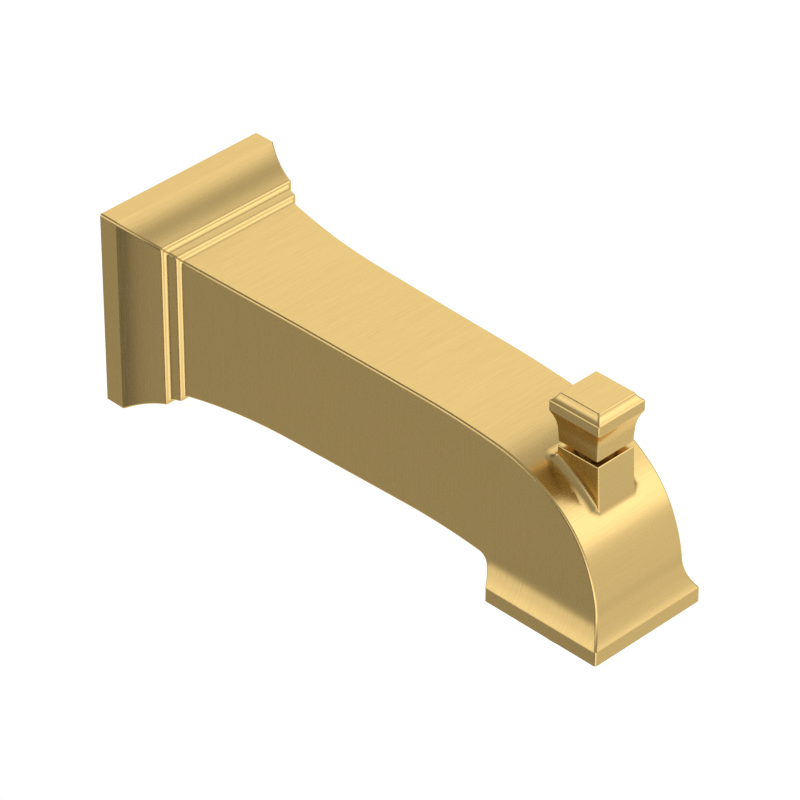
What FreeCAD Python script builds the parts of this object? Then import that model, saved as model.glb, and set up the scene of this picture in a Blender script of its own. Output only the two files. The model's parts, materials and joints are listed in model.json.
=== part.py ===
import FreeCAD, Part
import math
import os
import Sketcher

# Bath spout with a lift-knob diverter, in millimetres.
# The wall is the plane y = 0, the spout reaches along -Y, +Z is up and x = 0 is its plane of symmetry.
# z = 0 is the axis of the supply pipe, which is also the middle of the wall flange.

doc = FreeCAD.newDocument("bath_spout")

# Driving dimensions

SIZES = [
    # Wall flange and its stepped moulding; reaches are measured from the wall
    ("flange_width", 63.5),
    ("flange_height", 66.5),
    ("plate_reach", 6.8),
    ("cove_reach", 20.2),
    ("cove_inset", 5.4),
    ("cove_radius", 42),
    ("step_inset", 7.6),
    ("step_reach", 24.2),
    ("root_inset", 9.15),
    ("nook", 1.35),
    # Arm, seen from the side
    ("sweep_reach", 62),
    ("top_sweep_height", 21.57),
    ("arch_start_back", 72.75),
    ("arch_start_height", 20.75),
    ("arch_shoulder_back", 42.75),
    ("arch_shoulder_radius", 292),
    ("arch_brow_back", 18.75),
    ("arch_brow_radius", 50.6),
    ("arch_cheek_back", 7.75),
    ("arch_cheek_radius", 34.7),
    ("arch_foot_back", 3.65),
    ("arch_foot_radius", 50.3),
    ("under_sweep_height", 21.15),
    ("under_crown_back", 78.75),
    ("under_crown_height", 20.2),
    ("under_end_back", 48.95),
    ("under_belly_radius", 222),
    ("throat_back", 45.6),
    ("throat_radius", 4.2),
    # Arm, seen from above
    ("side_sweep_reach", 66),
    ("side_sweep_inset", 12.41),
    ("tip_inset", 13.83),
    ("side_taper_radius", 5800),
    # Square foot
    ("foot_size", 43.3),
    ("foot_reach", 190.75),
    ("foot_drop", 34.2),
    ("foot_band", 4.7),
    ("foot_flare_height", 11),
    ("foot_flare_radius", 18.35),
    # Pillar of the lift knob
    ("pillar_width", 14.8),
    ("pillar_depth", 15.5),
    ("pillar_top", 20),
    ("pillar_blend", 3),
    ("pillar_arris", 0.4),
    # Rounded arrises of the casting
    ("arris", 0.5),
    # Hollow of the casting
    ("wall", 2.8),
    ("cavity_end_back", 41.75),
    ("cavity_floor", 17.2),
    ("web_start", 44),
    ("web_thick", 6),
    ("web_inset", 13.05),
    ("web_half_height", 20.4),
    ("chamber_half", 10.8),
    ("chamber_rear_back", 11.9),
    ("chamber_front_ahead", 3.5),
    ("chamber_top", 5.8),
    ("chamber_rear_top", 9.8),
    ("outlet_radius", 14.6),
    ("outlet_top", -14),
    ("fit", 0.05),
    ("seat", 0.1),
    ("free", 0.3),
    ("ring_free", 0.03),
    # Inlet adapter on the supply pipe
    ("pipe_bore", 8.05),
    ("adapter_mouth", 0),
    ("adapter_radius", 11.5),
    ("adapter_end", 62),
    ("pipe_stop", 52),
    ("stop_thick", 1),
    ("adapter_waterway", 5.2),
    ("inlet_ring_rear", 42.5),
    ("inlet_ring_front", 47.5),
    ("inlet_ring_section", 1.3),
    ("ring_groove_width", 2.9),
    ("ring_groove_wall", 0.9),
    ("collar_half_width", 16.6),
    ("collar_half_height", 8),
    ("collar_thick", 3),
    ("collar_margin", 1.5),
    # Screws of the adapter's collar
    ("collar_screw_spacing", 14.3),
    ("collar_screw_radius", 1.5),
    ("collar_screw_length", 7.5),
    ("collar_screw_head", 2.4),
    ("collar_screw_head_height", 2),
    ("collar_screw_slot", 0.8),
    # Clamp screw under the arm
    ("clamp_reach", 30),
    ("clamp_radius", 3),
    ("clamp_tip", 8.7),
    ("clamp_length", 12.2),
    ("clamp_socket", 3),
    ("clamp_socket_depth", 3.5),
    ("clamp_boss_radius", 5.5),
    ("clamp_boss_length", 9.2),
    ("clamp_access", 0.6),
    ("clamp_point", 0.4),
    # Waterway tube
    ("tube_radius", 6.3),
    ("tube_wall", 1.1),
    ("tube_end_back", 7.9),
    ("tube_ring_section", 1),
    ("tube_ring_rear", 57.5),
    ("tube_ring_back", 10.4),
    ("tube_groove_width", 2.3),
    ("tube_groove_radius", 8.5),
    ("tube_hole", 0.3),
    # Diverter housing
    ("housing_plate_thick", 2.8),
    ("housing_skirt_inner", 11.8),
    ("housing_skirt_bottom", -28.8),
    ("port_radius", 4.2),
    ("port_axis", -1.5),
    ("port_face_back", 3.3),
    ("port_seat_outer", 6),
    ("port_seat_thick", 1.2),
    ("channel_half", 6.8),
    # Gate that the rod lifts in front of the port
    ("gate_half", 6.4),
    ("gate_top", -6.5),
    ("gate_height", 12.5),
    ("gate_front", 2.5),
    ("gate_rear", 2),
    ("gate_pad_thick", 1),
    ("gate_pad_margin", 0.3),
    ("gate_pin_radius", 0.6),
    ("gate_pin_drop", 4.5),
    # Lift rod and its guide
    ("rod_radius", 2),
    ("rod_tail_radius", 1.3),
    ("rod_tail_length", 8),
    ("rod_top", 31),
    ("bush_radius", 5),
    ("bush_bottom", 10.1),
    ("bush_flange_radius", 6.1),
    ("bush_flange_height", 1.3),
    ("rod_ring_height", 14.5),
    ("rod_ring_section", 0.9),
    ("rod_groove_width", 2.1),
    ("rod_groove_radius", 3.9),
    # Knob
    ("knob_bottom", 21.6),
    ("knob_neck_size", 14.9),
    ("knob_neck_top", 26),
    ("knob_rim_size", 19),
    ("knob_rim_bottom", 32.1),
    ("knob_rim_top", 35.5),
    ("knob_crown_size", 14.8),
    ("knob_top", 38.1),
    ("knob_neck_radius", 14),
    ("knob_crown_radius", 4.5),
    ("knob_hole_top", 31.3),
    ("knob_screw_height", 24.5),
    ("knob_screw_radius", 1.5),
    ("knob_screw_length", 4.6),
    ("knob_screw_socket", 1.5),
    ("knob_screw_socket_depth", 1.6),
    # Outlet nozzle
    ("nozzle_radius", 17),
    ("nozzle_drop", 5.7),
    ("nozzle_spigot_top", -30.3),
    ("nozzle_bore", 12.2),
    ("nozzle_lip", 10.8),
    ("nozzle_lip_height", 3.4),
    ("nozzle_rounding", 1),
    ("guide_height", 4),
    ("vane_thick", 1),
    ("vane_spacing", 7),
    ("guide_rim", 1.2),
    # Foam gasket in the back of the flange
    ("gasket_inset", 2.6),
    ("gasket_width", 3),
    ("gasket_thick", 1.5),
    ("gasket_free", 0.15),
]


class Size:
    """A length that knows its number and the sheet expression that it comes from."""

    def __init__(self, value, text):
        self.value = float(value)
        self.text = text

    def join(self, sign, other, value, swap=False):
        other_text = other.text if isinstance(other, Size) else repr(other)
        pair = (other_text, self.text) if swap else (self.text, other_text)
        return Size(value, "(%s %s %s)" % (pair[0], sign, pair[1]))

    def __add__(self, other):
        return self.join("+", other, self.value + number(other))

    def __radd__(self, other):
        return self.join("+", other, number(other) + self.value, swap=True)

    def __sub__(self, other):
        return self.join("-", other, self.value - number(other))

    def __rsub__(self, other):
        return self.join("-", other, number(other) - self.value, swap=True)

    def __mul__(self, other):
        return self.join("*", other, self.value * number(other))

    def __rmul__(self, other):
        return self.join("*", other, number(other) * self.value, swap=True)

    def __truediv__(self, other):
        return self.join("/", other, self.value / number(other))

    def __neg__(self):
        return Size(-self.value, "(0 - %s)" % self.text)


def number(size):
    return size.value if isinstance(size, Size) else float(size)


def root(size):
    return Size(math.sqrt(size.value), "sqrt(%s)" % size.text)


sheet = doc.addObject("Spreadsheet::Sheet", "sizes")
for row, (alias, amount) in enumerate(SIZES, 1):
    cell = "A%d" % row
    sheet.set(cell, str(amount))
    sheet.setAlias(cell, alias)
doc.recompute()


class Sheet:
    """Reads a cell as an attribute: d.wall is the wall's Size."""

    def __getattr__(self, alias):
        return Size(sheet.get(alias), "sizes.%s" % alias)


d = Sheet()
ZERO = 0 * d.wall
EIGHTH = math.tan(math.radians(22.5))
parts = []


# Sketches and solids

def bind(thing, path, size):
    """Set a property by an expression of the sheet."""
    if isinstance(size, Size):
        thing.setExpression(path, size.text)
    else:
        thing.setExpression(path, repr(float(size)))


def place(thing, x=None, y=None, z=None):
    for axis, size in (("x", x), ("y", y), ("z", z)):
        if size is not None:
            bind(thing, "Placement.Base." + axis, size)


def arc_edge(start, end, radius):
    """Arc from start to end; a positive radius has its centre on the left of the way from start to end."""
    ax, ay = start
    bx, by = end
    chord = math.hypot(bx - ax, by - ay)
    rise = math.sqrt(max(radius * radius - chord * chord / 4, 0))
    side = 1 if radius > 0 else -1
    cx = (ax + bx) / 2 - side * rise * (by - ay) / chord
    cy = (ay + by) / 2 + side * rise * (bx - ax) / chord
    first, last = (start, end) if radius > 0 else (end, start)
    low = math.atan2(first[1] - cy, first[0] - cx)
    high = math.atan2(last[1] - cy, last[0] - cx)
    if high < low:
        high += 2 * math.pi
    circle = Part.Circle(FreeCAD.Vector(cx, cy, 0), FreeCAD.Vector(0, 0, 1), abs(radius))
    return Part.ArcOfCircle(circle, low, high)


def draw_loop(sketch, corners):
    """Closed outline of corners (x, y, bend) or (x, y, bend, "smooth").

    The bend is the radius of the way to the next corner, or None where it is straight. A size is held;
    a plain number is only a first guess, which the tangency of the smooth corners settles.
    """
    first_edge = sketch.GeometryCount
    count = len(corners)
    spots = [(number(corner[0]), number(corner[1])) for corner in corners]
    ends = []
    for index, corner in enumerate(corners):
        start = spots[index]
        end = spots[(index + 1) % count]
        bend = corner[2]
        if bend is None:
            edge = Part.LineSegment(FreeCAD.Vector(*start, 0), FreeCAD.Vector(*end, 0))
            ends.append((1, 2))
        else:
            edge = arc_edge(start, end, number(bend))
            ends.append((1, 2) if number(bend) > 0 else (2, 1))
        sketch.addGeometry(edge, False)
    for index, corner in enumerate(corners):
        edge = first_edge + index
        before = first_edge + (index - 1) % count
        begin = ends[index][0]
        meeting = "Tangent" if len(corner) > 3 else "Coincident"
        sketch.addConstraint(Sketcher.Constraint(meeting, before, ends[index - 1][1], edge, begin))
        for kind, size in (("DistanceX", corner[0]), ("DistanceY", corner[1])):
            if isinstance(size, Size):
                held = sketch.addConstraint(Sketcher.Constraint(kind, -1, 1, edge, begin, size.value))
                bind(sketch, "Constraints[%d]" % held, size)
        bend = corner[2]
        if isinstance(bend, Size):
            held = sketch.addConstraint(Sketcher.Constraint("Radius", edge, abs(bend.value)))
            bind(sketch, "Constraints[%d]" % held, bend if bend.value > 0 else -bend)


def draw_circle(sketch, x, y, radius):
    edge = sketch.GeometryCount
    middle = FreeCAD.Vector(number(x), number(y), 0)
    sketch.addGeometry(Part.Circle(middle, FreeCAD.Vector(0, 0, 1), number(radius)), False)
    for kind, size in (("DistanceX", x), ("DistanceY", y)):
        held = sketch.addConstraint(Sketcher.Constraint(kind, -1, 1, edge, 3, number(size)))
        bind(sketch, "Constraints[%d]" % held, size)
    held = sketch.addConstraint(Sketcher.Constraint("Radius", edge, number(radius)))
    bind(sketch, "Constraints[%d]" % held, radius)


def rectangle(low_x, high_x, low_y, high_y):
    return [(low_x, low_y, None), (high_x, low_y, None), (high_x, high_y, None), (low_x, high_y, None)]


def new_body(label):
    body = doc.addObject("PartDesign::Body", label)
    body.Label = label
    return body


def new_sketch(body, name, plane, loops=(), circles=(), offset=None):
    """Sketch on one of the body's own origin planes; YZ reads as (y, z), XZ as (x, z) and XY as (x, y)."""
    sketch = body.newObject("Sketcher::SketchObject", name)
    for feature in body.Origin.OriginFeatures:
        if feature.Role == plane + "_Plane":
            sketch.AttachmentSupport = [(feature, "")]
    sketch.MapMode = "FlatFace"
    if offset is not None:
        bind(sketch, "AttachmentOffset.Base.z", offset)
    for corners in loops:
        draw_loop(sketch, corners)
    for circle in circles:
        draw_circle(sketch, *circle)
    doc.recompute()
    return sketch


def pad(body, sketch, length, both_ways=False, reverse=False):
    feature = body.newObject("PartDesign::Pad", sketch.Name + "_pad")
    feature.Profile = sketch
    bind(feature, "Length", length)
    if both_ways:
        feature.SideType = "Symmetric"
    feature.Reversed = reverse
    doc.recompute()
    return feature


def pocket(body, sketch, length, both_ways=False, reverse=False):
    before = body.Shape.Volume
    feature = body.newObject("PartDesign::Pocket", sketch.Name + "_pocket")
    feature.Profile = sketch
    bind(feature, "Length", length)
    if both_ways:
        feature.SideType = "Symmetric"
    feature.Reversed = reverse
    doc.recompute()
    if body.Shape.Volume >= before:
        raise RuntimeError(sketch.Name + " cuts nothing")
    return feature


def revolve(body, sketch, axis):
    feature = body.newObject("PartDesign::Revolution", sketch.Name + "_turn")
    feature.Profile = sketch
    feature.ReferenceAxis = (sketch, [axis])
    feature.Angle = 360
    doc.recompute()
    return feature


def finish(thing):
    parts.append(thing)
    return thing


def mirrored(half):
    """Outline of one side of the middle line, met by its mirror image on the way back."""
    back = []
    for index in range(len(half) - 1, -1, -1):
        x, y, bend = half[index][:3]
        bend_back = half[index - 1][2] if index > 0 else None
        back.append((-x, y, bend_back) + half[index][3:])
    return half + back


def edge_names(shape, wanted):
    return ["Edge%d" % (index + 1) for index, edge in enumerate(shape.Edges) if wanted(edge)]


def round_edges(body, name, wanted, radius):
    """Fillet on the edges that wanted(edge) picks, left out where it gives no sound shape."""
    base = body.Tip
    volume = base.Shape.Volume
    feature = body.newObject("PartDesign::Fillet", name)
    feature.Base = (base, edge_names(base.Shape, wanted))
    bind(feature, "Radius", radius)
    doc.recompute()
    sound = feature.isValid() and not feature.Shape.isNull() and feature.Shape.isValid()
    if not sound or abs(feature.Shape.Volume - volume) > volume / 100:
        body.removeObject(feature)
        doc.removeObject(feature.Name)
        body.Tip = base
        doc.recompute()


# Outside of the casting

half_width = d.flange_width / 2
half_height = d.flange_height / 2
foot_half = d.foot_size / 2
heel_reach = d.foot_reach - d.foot_size
band_top = d.foot_band - d.foot_drop
root_height = half_height - d.root_inset
side_sweep_half = half_width - d.side_sweep_inset
tip_half = half_width - d.tip_inset
nose_reach = d.foot_reach - foot_half
nose = -nose_reach
arch_start = d.foot_reach - d.arch_start_back
arch_shoulder = d.foot_reach - d.arch_shoulder_back
arch_brow = d.foot_reach - d.arch_brow_back
arch_cheek = d.foot_reach - d.arch_cheek_back
arch_foot = d.foot_reach - d.arch_foot_back
under_crown = d.foot_reach - d.under_crown_back
under_end = d.foot_reach - d.under_end_back
throat = d.foot_reach - d.throat_back
cavity_end = d.foot_reach - d.cavity_end_back


def side_outline():
    """Side view of the casting, from the top of the wall face round the foot and back, as (y, z)."""
    return [
        (ZERO, half_height, None),
        (-d.plate_reach, half_height, -d.cove_radius),
        (-d.cove_reach, half_height - d.cove_inset, None),
        (-d.cove_reach, half_height - d.step_inset + d.nook, -d.nook),
        (-d.cove_reach - d.nook, half_height - d.step_inset, None),
        (-d.step_reach, half_height - d.step_inset, None),
        (-d.step_reach, root_height + d.nook, -1.35),
        (-d.step_reach - d.nook, root_height, -340, "smooth"),
        (-d.sweep_reach, d.top_sweep_height, None, "smooth"),
        (-arch_start, d.arch_start_height, d.arch_shoulder_radius, "smooth"),
        (-arch_shoulder, 18.8, d.arch_brow_radius, "smooth"),
        (-arch_brow, 9.3, d.arch_cheek_radius, "smooth"),
        (-arch_cheek, -4.2, d.arch_foot_radius, "smooth"),
        (-arch_foot, -18.5, -29, "smooth"),
        (-d.foot_reach, band_top, None),
        (-d.foot_reach, -d.foot_drop, None),
        (-heel_reach, -d.foot_drop, None),
        (-heel_reach, band_top, -200),
        (-throat, -24.1, -d.throat_radius, "smooth"),
        (-under_end, -21.6, -d.under_belly_radius, "smooth"),
        (-under_crown, -d.under_crown_height, None, "smooth"),
        (-d.sweep_reach, -d.under_sweep_height, -300, "smooth"),
        (-d.step_reach - d.nook, -root_height, -1.35, "smooth"),
        (-d.step_reach, -root_height - d.nook, None),
        (-d.step_reach, d.step_inset - half_height, None),
        (-d.cove_reach - d.nook, d.step_inset - half_height, -d.nook),
        (-d.cove_reach, d.step_inset - half_height - d.nook, None),
        (-d.cove_reach, d.cove_inset - half_height, -d.cove_radius),
        (-d.plate_reach, -half_height, None),
        (ZERO, -half_height, None),
    ]


def plan_outline():
    """Plan of the casting above its foot, as (x, y)."""
    return mirrored([
        (half_width, ZERO, None),
        (half_width, -d.plate_reach, d.cove_radius),
        (half_width - d.cove_inset, -d.cove_reach, None),
        (half_width - d.step_inset + d.nook, -d.cove_reach, d.nook),
        (half_width - d.step_inset, -d.cove_reach - d.nook, None),
        (half_width - d.step_inset, -d.step_reach, None),
        (half_width - d.root_inset + d.nook, -d.step_reach, 1.35),
        (half_width - d.root_inset, -d.step_reach - d.nook, 340, "smooth"),
        (side_sweep_half, -d.side_sweep_reach, d.side_taper_radius, "smooth"),
        (tip_half, -d.foot_reach, None),
    ])


def foot_outline():
    """Front view of the flared foot, as (x, z)."""
    return mirrored([
        (foot_half, -d.foot_drop, None),
        (foot_half, band_top, -d.foot_flare_radius),
        (tip_half, band_top + d.foot_flare_height, None),
    ])


def casting_outside():
    """What the side view has in common with the plan and the flared foot, with the knob's pillar on top."""
    side = new_body("side_form")
    pad(side, new_sketch(side, "side_view", "YZ", [side_outline()]), d.flange_width, both_ways=True)
    plan = new_body("plan_form")
    pad(plan, new_sketch(plan, "plan_view", "XY", [plan_outline()]), d.flange_height, both_ways=True)
    foot = new_body("foot_form")
    foot_sketch = new_sketch(foot, "foot_view", "XZ", [foot_outline()], offset=arch_start)
    pad(foot, foot_sketch, d.foot_reach - arch_start)
    widths = doc.addObject("Part::Fuse", "width_form")
    widths.Base = plan
    widths.Tool = foot
    arm = doc.addObject("Part::Common", "arm_form")
    arm.Base = side
    arm.Tool = widths
    pillar = new_body("pillar_form")
    half_across = d.pillar_width / 2
    half_along = d.pillar_depth / 2
    block = rectangle(-half_across, half_across, nose - half_along, nose + half_along)
    pad(pillar, new_sketch(pillar, "pillar_plan", "XY", [block]), d.pillar_top)
    whole = doc.addObject("Part::Fuse", "outer_form")
    whole.Base = arm
    whole.Tool = pillar
    doc.recompute()
    return whole


whole = casting_outside()


# Choice of the edges that are rounded

def middle(edge):
    return edge.valueAt((edge.FirstParameter + edge.LastParameter) / 2)


def near(value, size):
    return abs(value - number(size)) < 0.05


def is_upright(edge):
    return edge.BoundBox.XLength < 0.01 and edge.BoundBox.YLength < 0.01 and edge.BoundBox.ZLength > 0.1


def on_pillar(edge):
    """True for an edge that lies in one of the pillar's four sides."""
    spot = middle(edge)
    width = number(d.pillar_width) / 2
    depth = number(d.pillar_depth) / 2
    across = abs(spot.x)
    along = abs(spot.y - number(nose))
    on_side = edge.BoundBox.XLength < 0.01 and near(across, width) and along < depth + 0.05
    on_end = edge.BoundBox.YLength < 0.01 and near(along, depth) and across < width + 0.05
    return on_side or on_end


def at_pillar_foot(edge):
    return on_pillar(edge) and not is_upright(edge) and edge.BoundBox.ZMax < number(d.pillar_top) - 0.1


def at_pillar_head(edge):
    return on_pillar(edge) and near(middle(edge).z, d.pillar_top)


def inset(spot):
    """How far a point lies inside the outline of the flange."""
    return min(number(half_width) - abs(spot.x), number(half_height) - abs(spot.z))


def at_mitre(edge):
    """Corners of the plate and of the cove."""
    spot = middle(edge)
    long_enough = edge.BoundBox.YLength > 2 * number(d.gasket_thick)
    return long_enough and inset(spot) < number(d.cove_inset) + 0.05 and spot.y > -number(d.cove_reach)


def at_foot_corner(edge):
    return is_upright(edge) and near(abs(middle(edge).x), foot_half)


# Hollow of the casting

chamber_rear = nose_reach - d.chamber_rear_back
tube_end = nose_reach - d.tube_end_back
tube_ring_front = nose_reach - d.tube_ring_back
port_face = nose_reach - d.port_face_back
chamber_front = nose_reach + d.chamber_front_ahead
web_half_width = half_width - d.web_inset
recess_reach = d.cove_reach - d.wall
recess_width = half_width - d.cove_inset - d.wall
recess_height = half_height - d.cove_inset - d.wall
bush_hole = d.bush_radius + d.fit
gasket_half_width = half_width - d.gasket_inset
gasket_half_height = half_height - d.gasket_inset


def hollow_side():
    """Side view of the hollow, a wall's thickness inside the outline, as (y, z)."""
    return [
        (d.wall, recess_height, None),
        (-recess_reach, recess_height, None),
        (-recess_reach, root_height - d.wall, -380),
        (-d.sweep_reach, d.top_sweep_height - d.wall, None, "smooth"),
        (-arch_start, d.arch_start_height - d.wall, d.arch_shoulder_radius - d.wall, "smooth"),
        (-cavity_end, 15.8, None),
        (-cavity_end, -d.cavity_floor, None),
        (-under_crown, d.wall - d.under_crown_height, None),
        (-d.sweep_reach, d.wall - d.under_sweep_height, -340, "smooth"),
        (-recess_reach, d.wall - root_height, None),
        (-recess_reach, -recess_height, None),
        (d.wall, -recess_height, None),
    ]


def hollow_plan():
    """Plan of the hollow, as (x, y)."""
    return mirrored([
        (recess_width, d.wall, None),
        (recess_width, -recess_reach, None),
        (half_width - d.root_inset - d.wall, -recess_reach, 330),
        (side_sweep_half - d.wall, -d.side_sweep_reach, d.side_taper_radius, "smooth"),
        (15.3, -cavity_end, None),
    ])


def hollow_form():
    side = new_body("hollow_side_form")
    pad(side, new_sketch(side, "hollow_side_view", "YZ", [hollow_side()]), d.flange_width, both_ways=True)
    plan = new_body("hollow_plan_form")
    pad(plan, new_sketch(plan, "hollow_plan_view", "XY", [hollow_plan()]), d.flange_height, both_ways=True)
    hollow = doc.addObject("Part::Common", "hollow_form")
    hollow.Base = side
    hollow.Tool = plan
    shell = doc.addObject("Part::Cut", "shell_form")
    shell.Base = whole
    shell.Tool = hollow
    doc.recompute()
    return shell


def gasket_loops(gap):
    outer_width = gasket_half_width + gap
    outer_height = gasket_half_height + gap
    inner_width = gasket_half_width - d.gasket_width - gap
    inner_height = gasket_half_height - d.gasket_width - gap
    return [
        rectangle(-outer_width, outer_width, -outer_height, outer_height),
        rectangle(-inner_width, inner_width, -inner_height, inner_height),
    ]


def build_spout_body():
    """One casting: web and boss for the adapter inside the arm, chamber and bores for the diverter."""
    body = new_body("spout_body")
    body.BaseFeature = hollow_form()
    doc.recompute()
    web = [rectangle(-web_half_width, web_half_width, -d.web_half_height, d.web_half_height)]
    pad(body, new_sketch(body, "web", "XZ", web, offset=d.web_start), d.web_thick)
    boss_circle = (ZERO, -d.clamp_reach, d.clamp_boss_radius)
    boss_top = -d.adapter_radius - d.free
    boss = new_sketch(body, "clamp_boss", "XY", circles=[boss_circle], offset=boss_top)
    pad(body, boss, d.clamp_boss_length, reverse=True)
    holes = [
        (ZERO, ZERO, d.adapter_radius + d.seat),
        (d.collar_screw_spacing, ZERO, d.collar_screw_radius + d.fit),
        (-d.collar_screw_spacing, ZERO, d.collar_screw_radius + d.fit),
    ]
    web_holes = new_sketch(body, "web_holes", "XZ", circles=holes, offset=d.web_start)
    pocket(body, web_holes, d.web_thick, reverse=True)
    clamp_hole = new_sketch(body, "clamp_hole", "XY", offset=boss_top,
                            circles=[(ZERO, -d.clamp_reach, d.clamp_radius + d.fit)])
    pocket(body, clamp_hole, d.clamp_boss_length + d.wall)
    access = new_sketch(body, "clamp_access", "XY", offset=-d.clamp_tip - d.clamp_length,
                        circles=[(ZERO, -d.clamp_reach, d.clamp_radius + d.clamp_access)])
    pocket(body, access, d.wall * 2)
    half = d.chamber_half
    deep = rectangle(-half, half, -chamber_front, -chamber_rear)
    chamber = new_sketch(body, "chamber", "XY", [deep], offset=-d.foot_drop)
    pocket(body, chamber, d.foot_drop + d.chamber_top, reverse=True)
    high = rectangle(-half, half, -port_face - d.free, -chamber_rear)
    chamber_head = new_sketch(body, "chamber_head", "XY", [high])
    pocket(body, chamber_head, d.chamber_rear_top, reverse=True)
    outlet = new_sketch(body, "outlet_bore", "XY", offset=-d.foot_drop,
                        circles=[(ZERO, nose, d.outlet_radius)])
    pocket(body, outlet, d.foot_drop + d.outlet_top, reverse=True)
    guide = new_sketch(body, "guide_bore", "XY", circles=[(ZERO, nose, bush_hole)], offset=d.pillar_top)
    pocket(body, guide, d.pillar_top - d.chamber_top)
    tube_hole = new_sketch(body, "tube_hole", "XZ", offset=cavity_end,
                           circles=[(ZERO, ZERO, d.tube_radius + d.tube_hole)])
    pocket(body, tube_hole, chamber_rear - cavity_end, reverse=True)
    groove = new_sketch(body, "gasket_groove", "XZ", gasket_loops(d.gasket_free))
    pocket(body, groove, d.gasket_thick, reverse=True)
    round_edges(body, "pillar_blends", at_pillar_foot, d.pillar_blend)
    round_edges(body, "pillar_arrises", at_pillar_head, d.pillar_arris)
    round_edges(body, "mitre_arrises", at_mitre, d.arris)
    round_edges(body, "foot_arrises", at_foot_corner, d.arris)
    return finish(body)


def build_wall_gasket():
    """Foam strip cut as a square ring, set in the groove of the flange's back."""
    body = new_body("wall_gasket")
    pad(body, new_sketch(body, "gasket_ring", "XZ", gasket_loops(ZERO)), d.gasket_thick)
    return finish(body)


build_spout_body()
build_wall_gasket()


# Inlet adapter, clamped on the supply pipe

groove_radius = d.adapter_radius - d.ring_groove_wall
tube_socket = d.tube_radius + d.fit
tube_bore = d.tube_radius - d.tube_wall
tube_start = d.pipe_stop + d.stop_thick + d.seat


def groove(at, width, inside, outside):
    """Corners of an inner groove on the way back toward the wall."""
    return [
        (-at - width / 2, inside, None),
        (-at - width / 2, outside, None),
        (-at + width / 2, outside, None),
        (-at + width / 2, inside, None),
    ]


def build_inlet_adapter():
    """Turned brass sleeve with a collar plate; its half section turns on the pipe's axis."""
    body = new_body("inlet_adapter")
    outline = [
        (-d.adapter_mouth, d.pipe_bore, None),
        (-d.adapter_mouth, d.adapter_radius, None),
        (-d.adapter_end, d.adapter_radius, None),
        (-d.adapter_end, tube_socket, None),
    ]
    outline += groove(d.tube_ring_rear, d.tube_groove_width, tube_socket, d.tube_groove_radius)
    outline += [
        (-d.pipe_stop - d.stop_thick, tube_socket, None),
        (-d.pipe_stop - d.stop_thick, d.adapter_waterway, None),
        (-d.pipe_stop, d.adapter_waterway, None),
        (-d.pipe_stop, d.pipe_bore, None),
    ]
    outline += groove(d.inlet_ring_front, d.ring_groove_width, d.pipe_bore, groove_radius)
    outline += groove(d.inlet_ring_rear, d.ring_groove_width, d.pipe_bore, groove_radius)
    revolve(body, new_sketch(body, "adapter_section", "YZ", [outline]), "H_Axis")
    width = d.collar_half_width
    height = d.collar_half_height
    holes = [
        (ZERO, ZERO, d.adapter_radius - d.seat),
        (d.collar_screw_spacing, ZERO, d.collar_screw_radius + d.fit),
        (-d.collar_screw_spacing, ZERO, d.collar_screw_radius + d.fit),
    ]
    collar = new_sketch(body, "adapter_collar", "XZ", [collar_loop(width, height)], holes,
                        offset=d.web_start - d.collar_thick)
    pad(body, collar, d.collar_thick)
    side_hole = new_sketch(body, "adapter_side_hole", "XY",
                           circles=[(ZERO, -d.clamp_reach, d.clamp_radius + d.fit)])
    pocket(body, side_hole, d.adapter_radius)
    return finish(body)


def collar_loop(width, height):
    """Two-eared plate, as (x, z): flat top and bottom over the sleeve, ears narrowing to the screws."""
    ear = height / 2
    return [
        (-height, -d.adapter_radius - d.collar_margin, None),
        (height, -d.adapter_radius - d.collar_margin, None),
        (width, -ear, None),
        (width, ear, None),
        (height, d.adapter_radius + d.collar_margin, None),
        (-height, d.adapter_radius + d.collar_margin, None),
        (-width, ear, None),
        (-width, -ear, None),
    ]


def build_adapter_screws():
    """Pair of cheese-head screws that hold the collar on the casting's web."""
    body = new_body("collar_screw")
    face = d.web_start - d.collar_thick
    head_face = face - d.collar_screw_head_height
    outline = [
        (-head_face, ZERO, None),
        (-head_face, d.collar_screw_head, None),
        (-face, d.collar_screw_head, None),
        (-face, d.collar_screw_radius, None),
        (-face - d.collar_screw_length, d.collar_screw_radius, None),
        (-face - d.collar_screw_length, ZERO, None),
    ]
    revolve(body, new_sketch(body, "screw_section", "YZ", [outline]), "H_Axis")
    half_slot = d.collar_screw_slot / 2
    slot = rectangle(-half_slot, half_slot, -d.collar_screw_head, d.collar_screw_head)
    slot_sketch = new_sketch(body, "screw_slot", "XZ", [slot], offset=head_face)
    pocket(body, slot_sketch, d.collar_screw_slot, reverse=True)
    place(body, x=d.collar_screw_spacing)
    twin = doc.addObject("Part::Mirroring", "collar_screw_twin")
    twin.Source = body
    twin.Normal = FreeCAD.Vector(1, 0, 0)
    pair = doc.addObject("Part::Compound", "adapter_screws")
    pair.Label = "adapter_screws"
    pair.Links = [body, twin]
    doc.recompute()
    return finish(pair)


def octagon(x, y, half):
    """Eight-sided section of a rubber ring, by its middle and half its width across flats."""
    flat = half * EIGHTH
    return [
        (x - flat, y - half, None),
        (x + flat, y - half, None),
        (x + half, y - flat, None),
        (x + half, y + flat, None),
        (x + flat, y + half, None),
        (x - flat, y + half, None),
        (x - half, y + flat, None),
        (x - half, y - flat, None),
    ]


def ring(label, along, centre_radius, section):
    """Rubber ring about the pipe's axis."""
    body = new_body(label)
    ring = octagon(along, centre_radius, section)
    revolve(body, new_sketch(body, label + "_section", "YZ", [ring]), "H_Axis")
    return finish(body)


def hexagon(flat):
    """Hexagonal socket by its width across flats."""
    point = flat / math.sqrt(3)
    return [
        (point, ZERO, None),
        (point / 2, flat / 2, None),
        (-point / 2, flat / 2, None),
        (-point, ZERO, None),
        (-point / 2, -flat / 2, None),
        (point / 2, -flat / 2, None),
    ]


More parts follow.
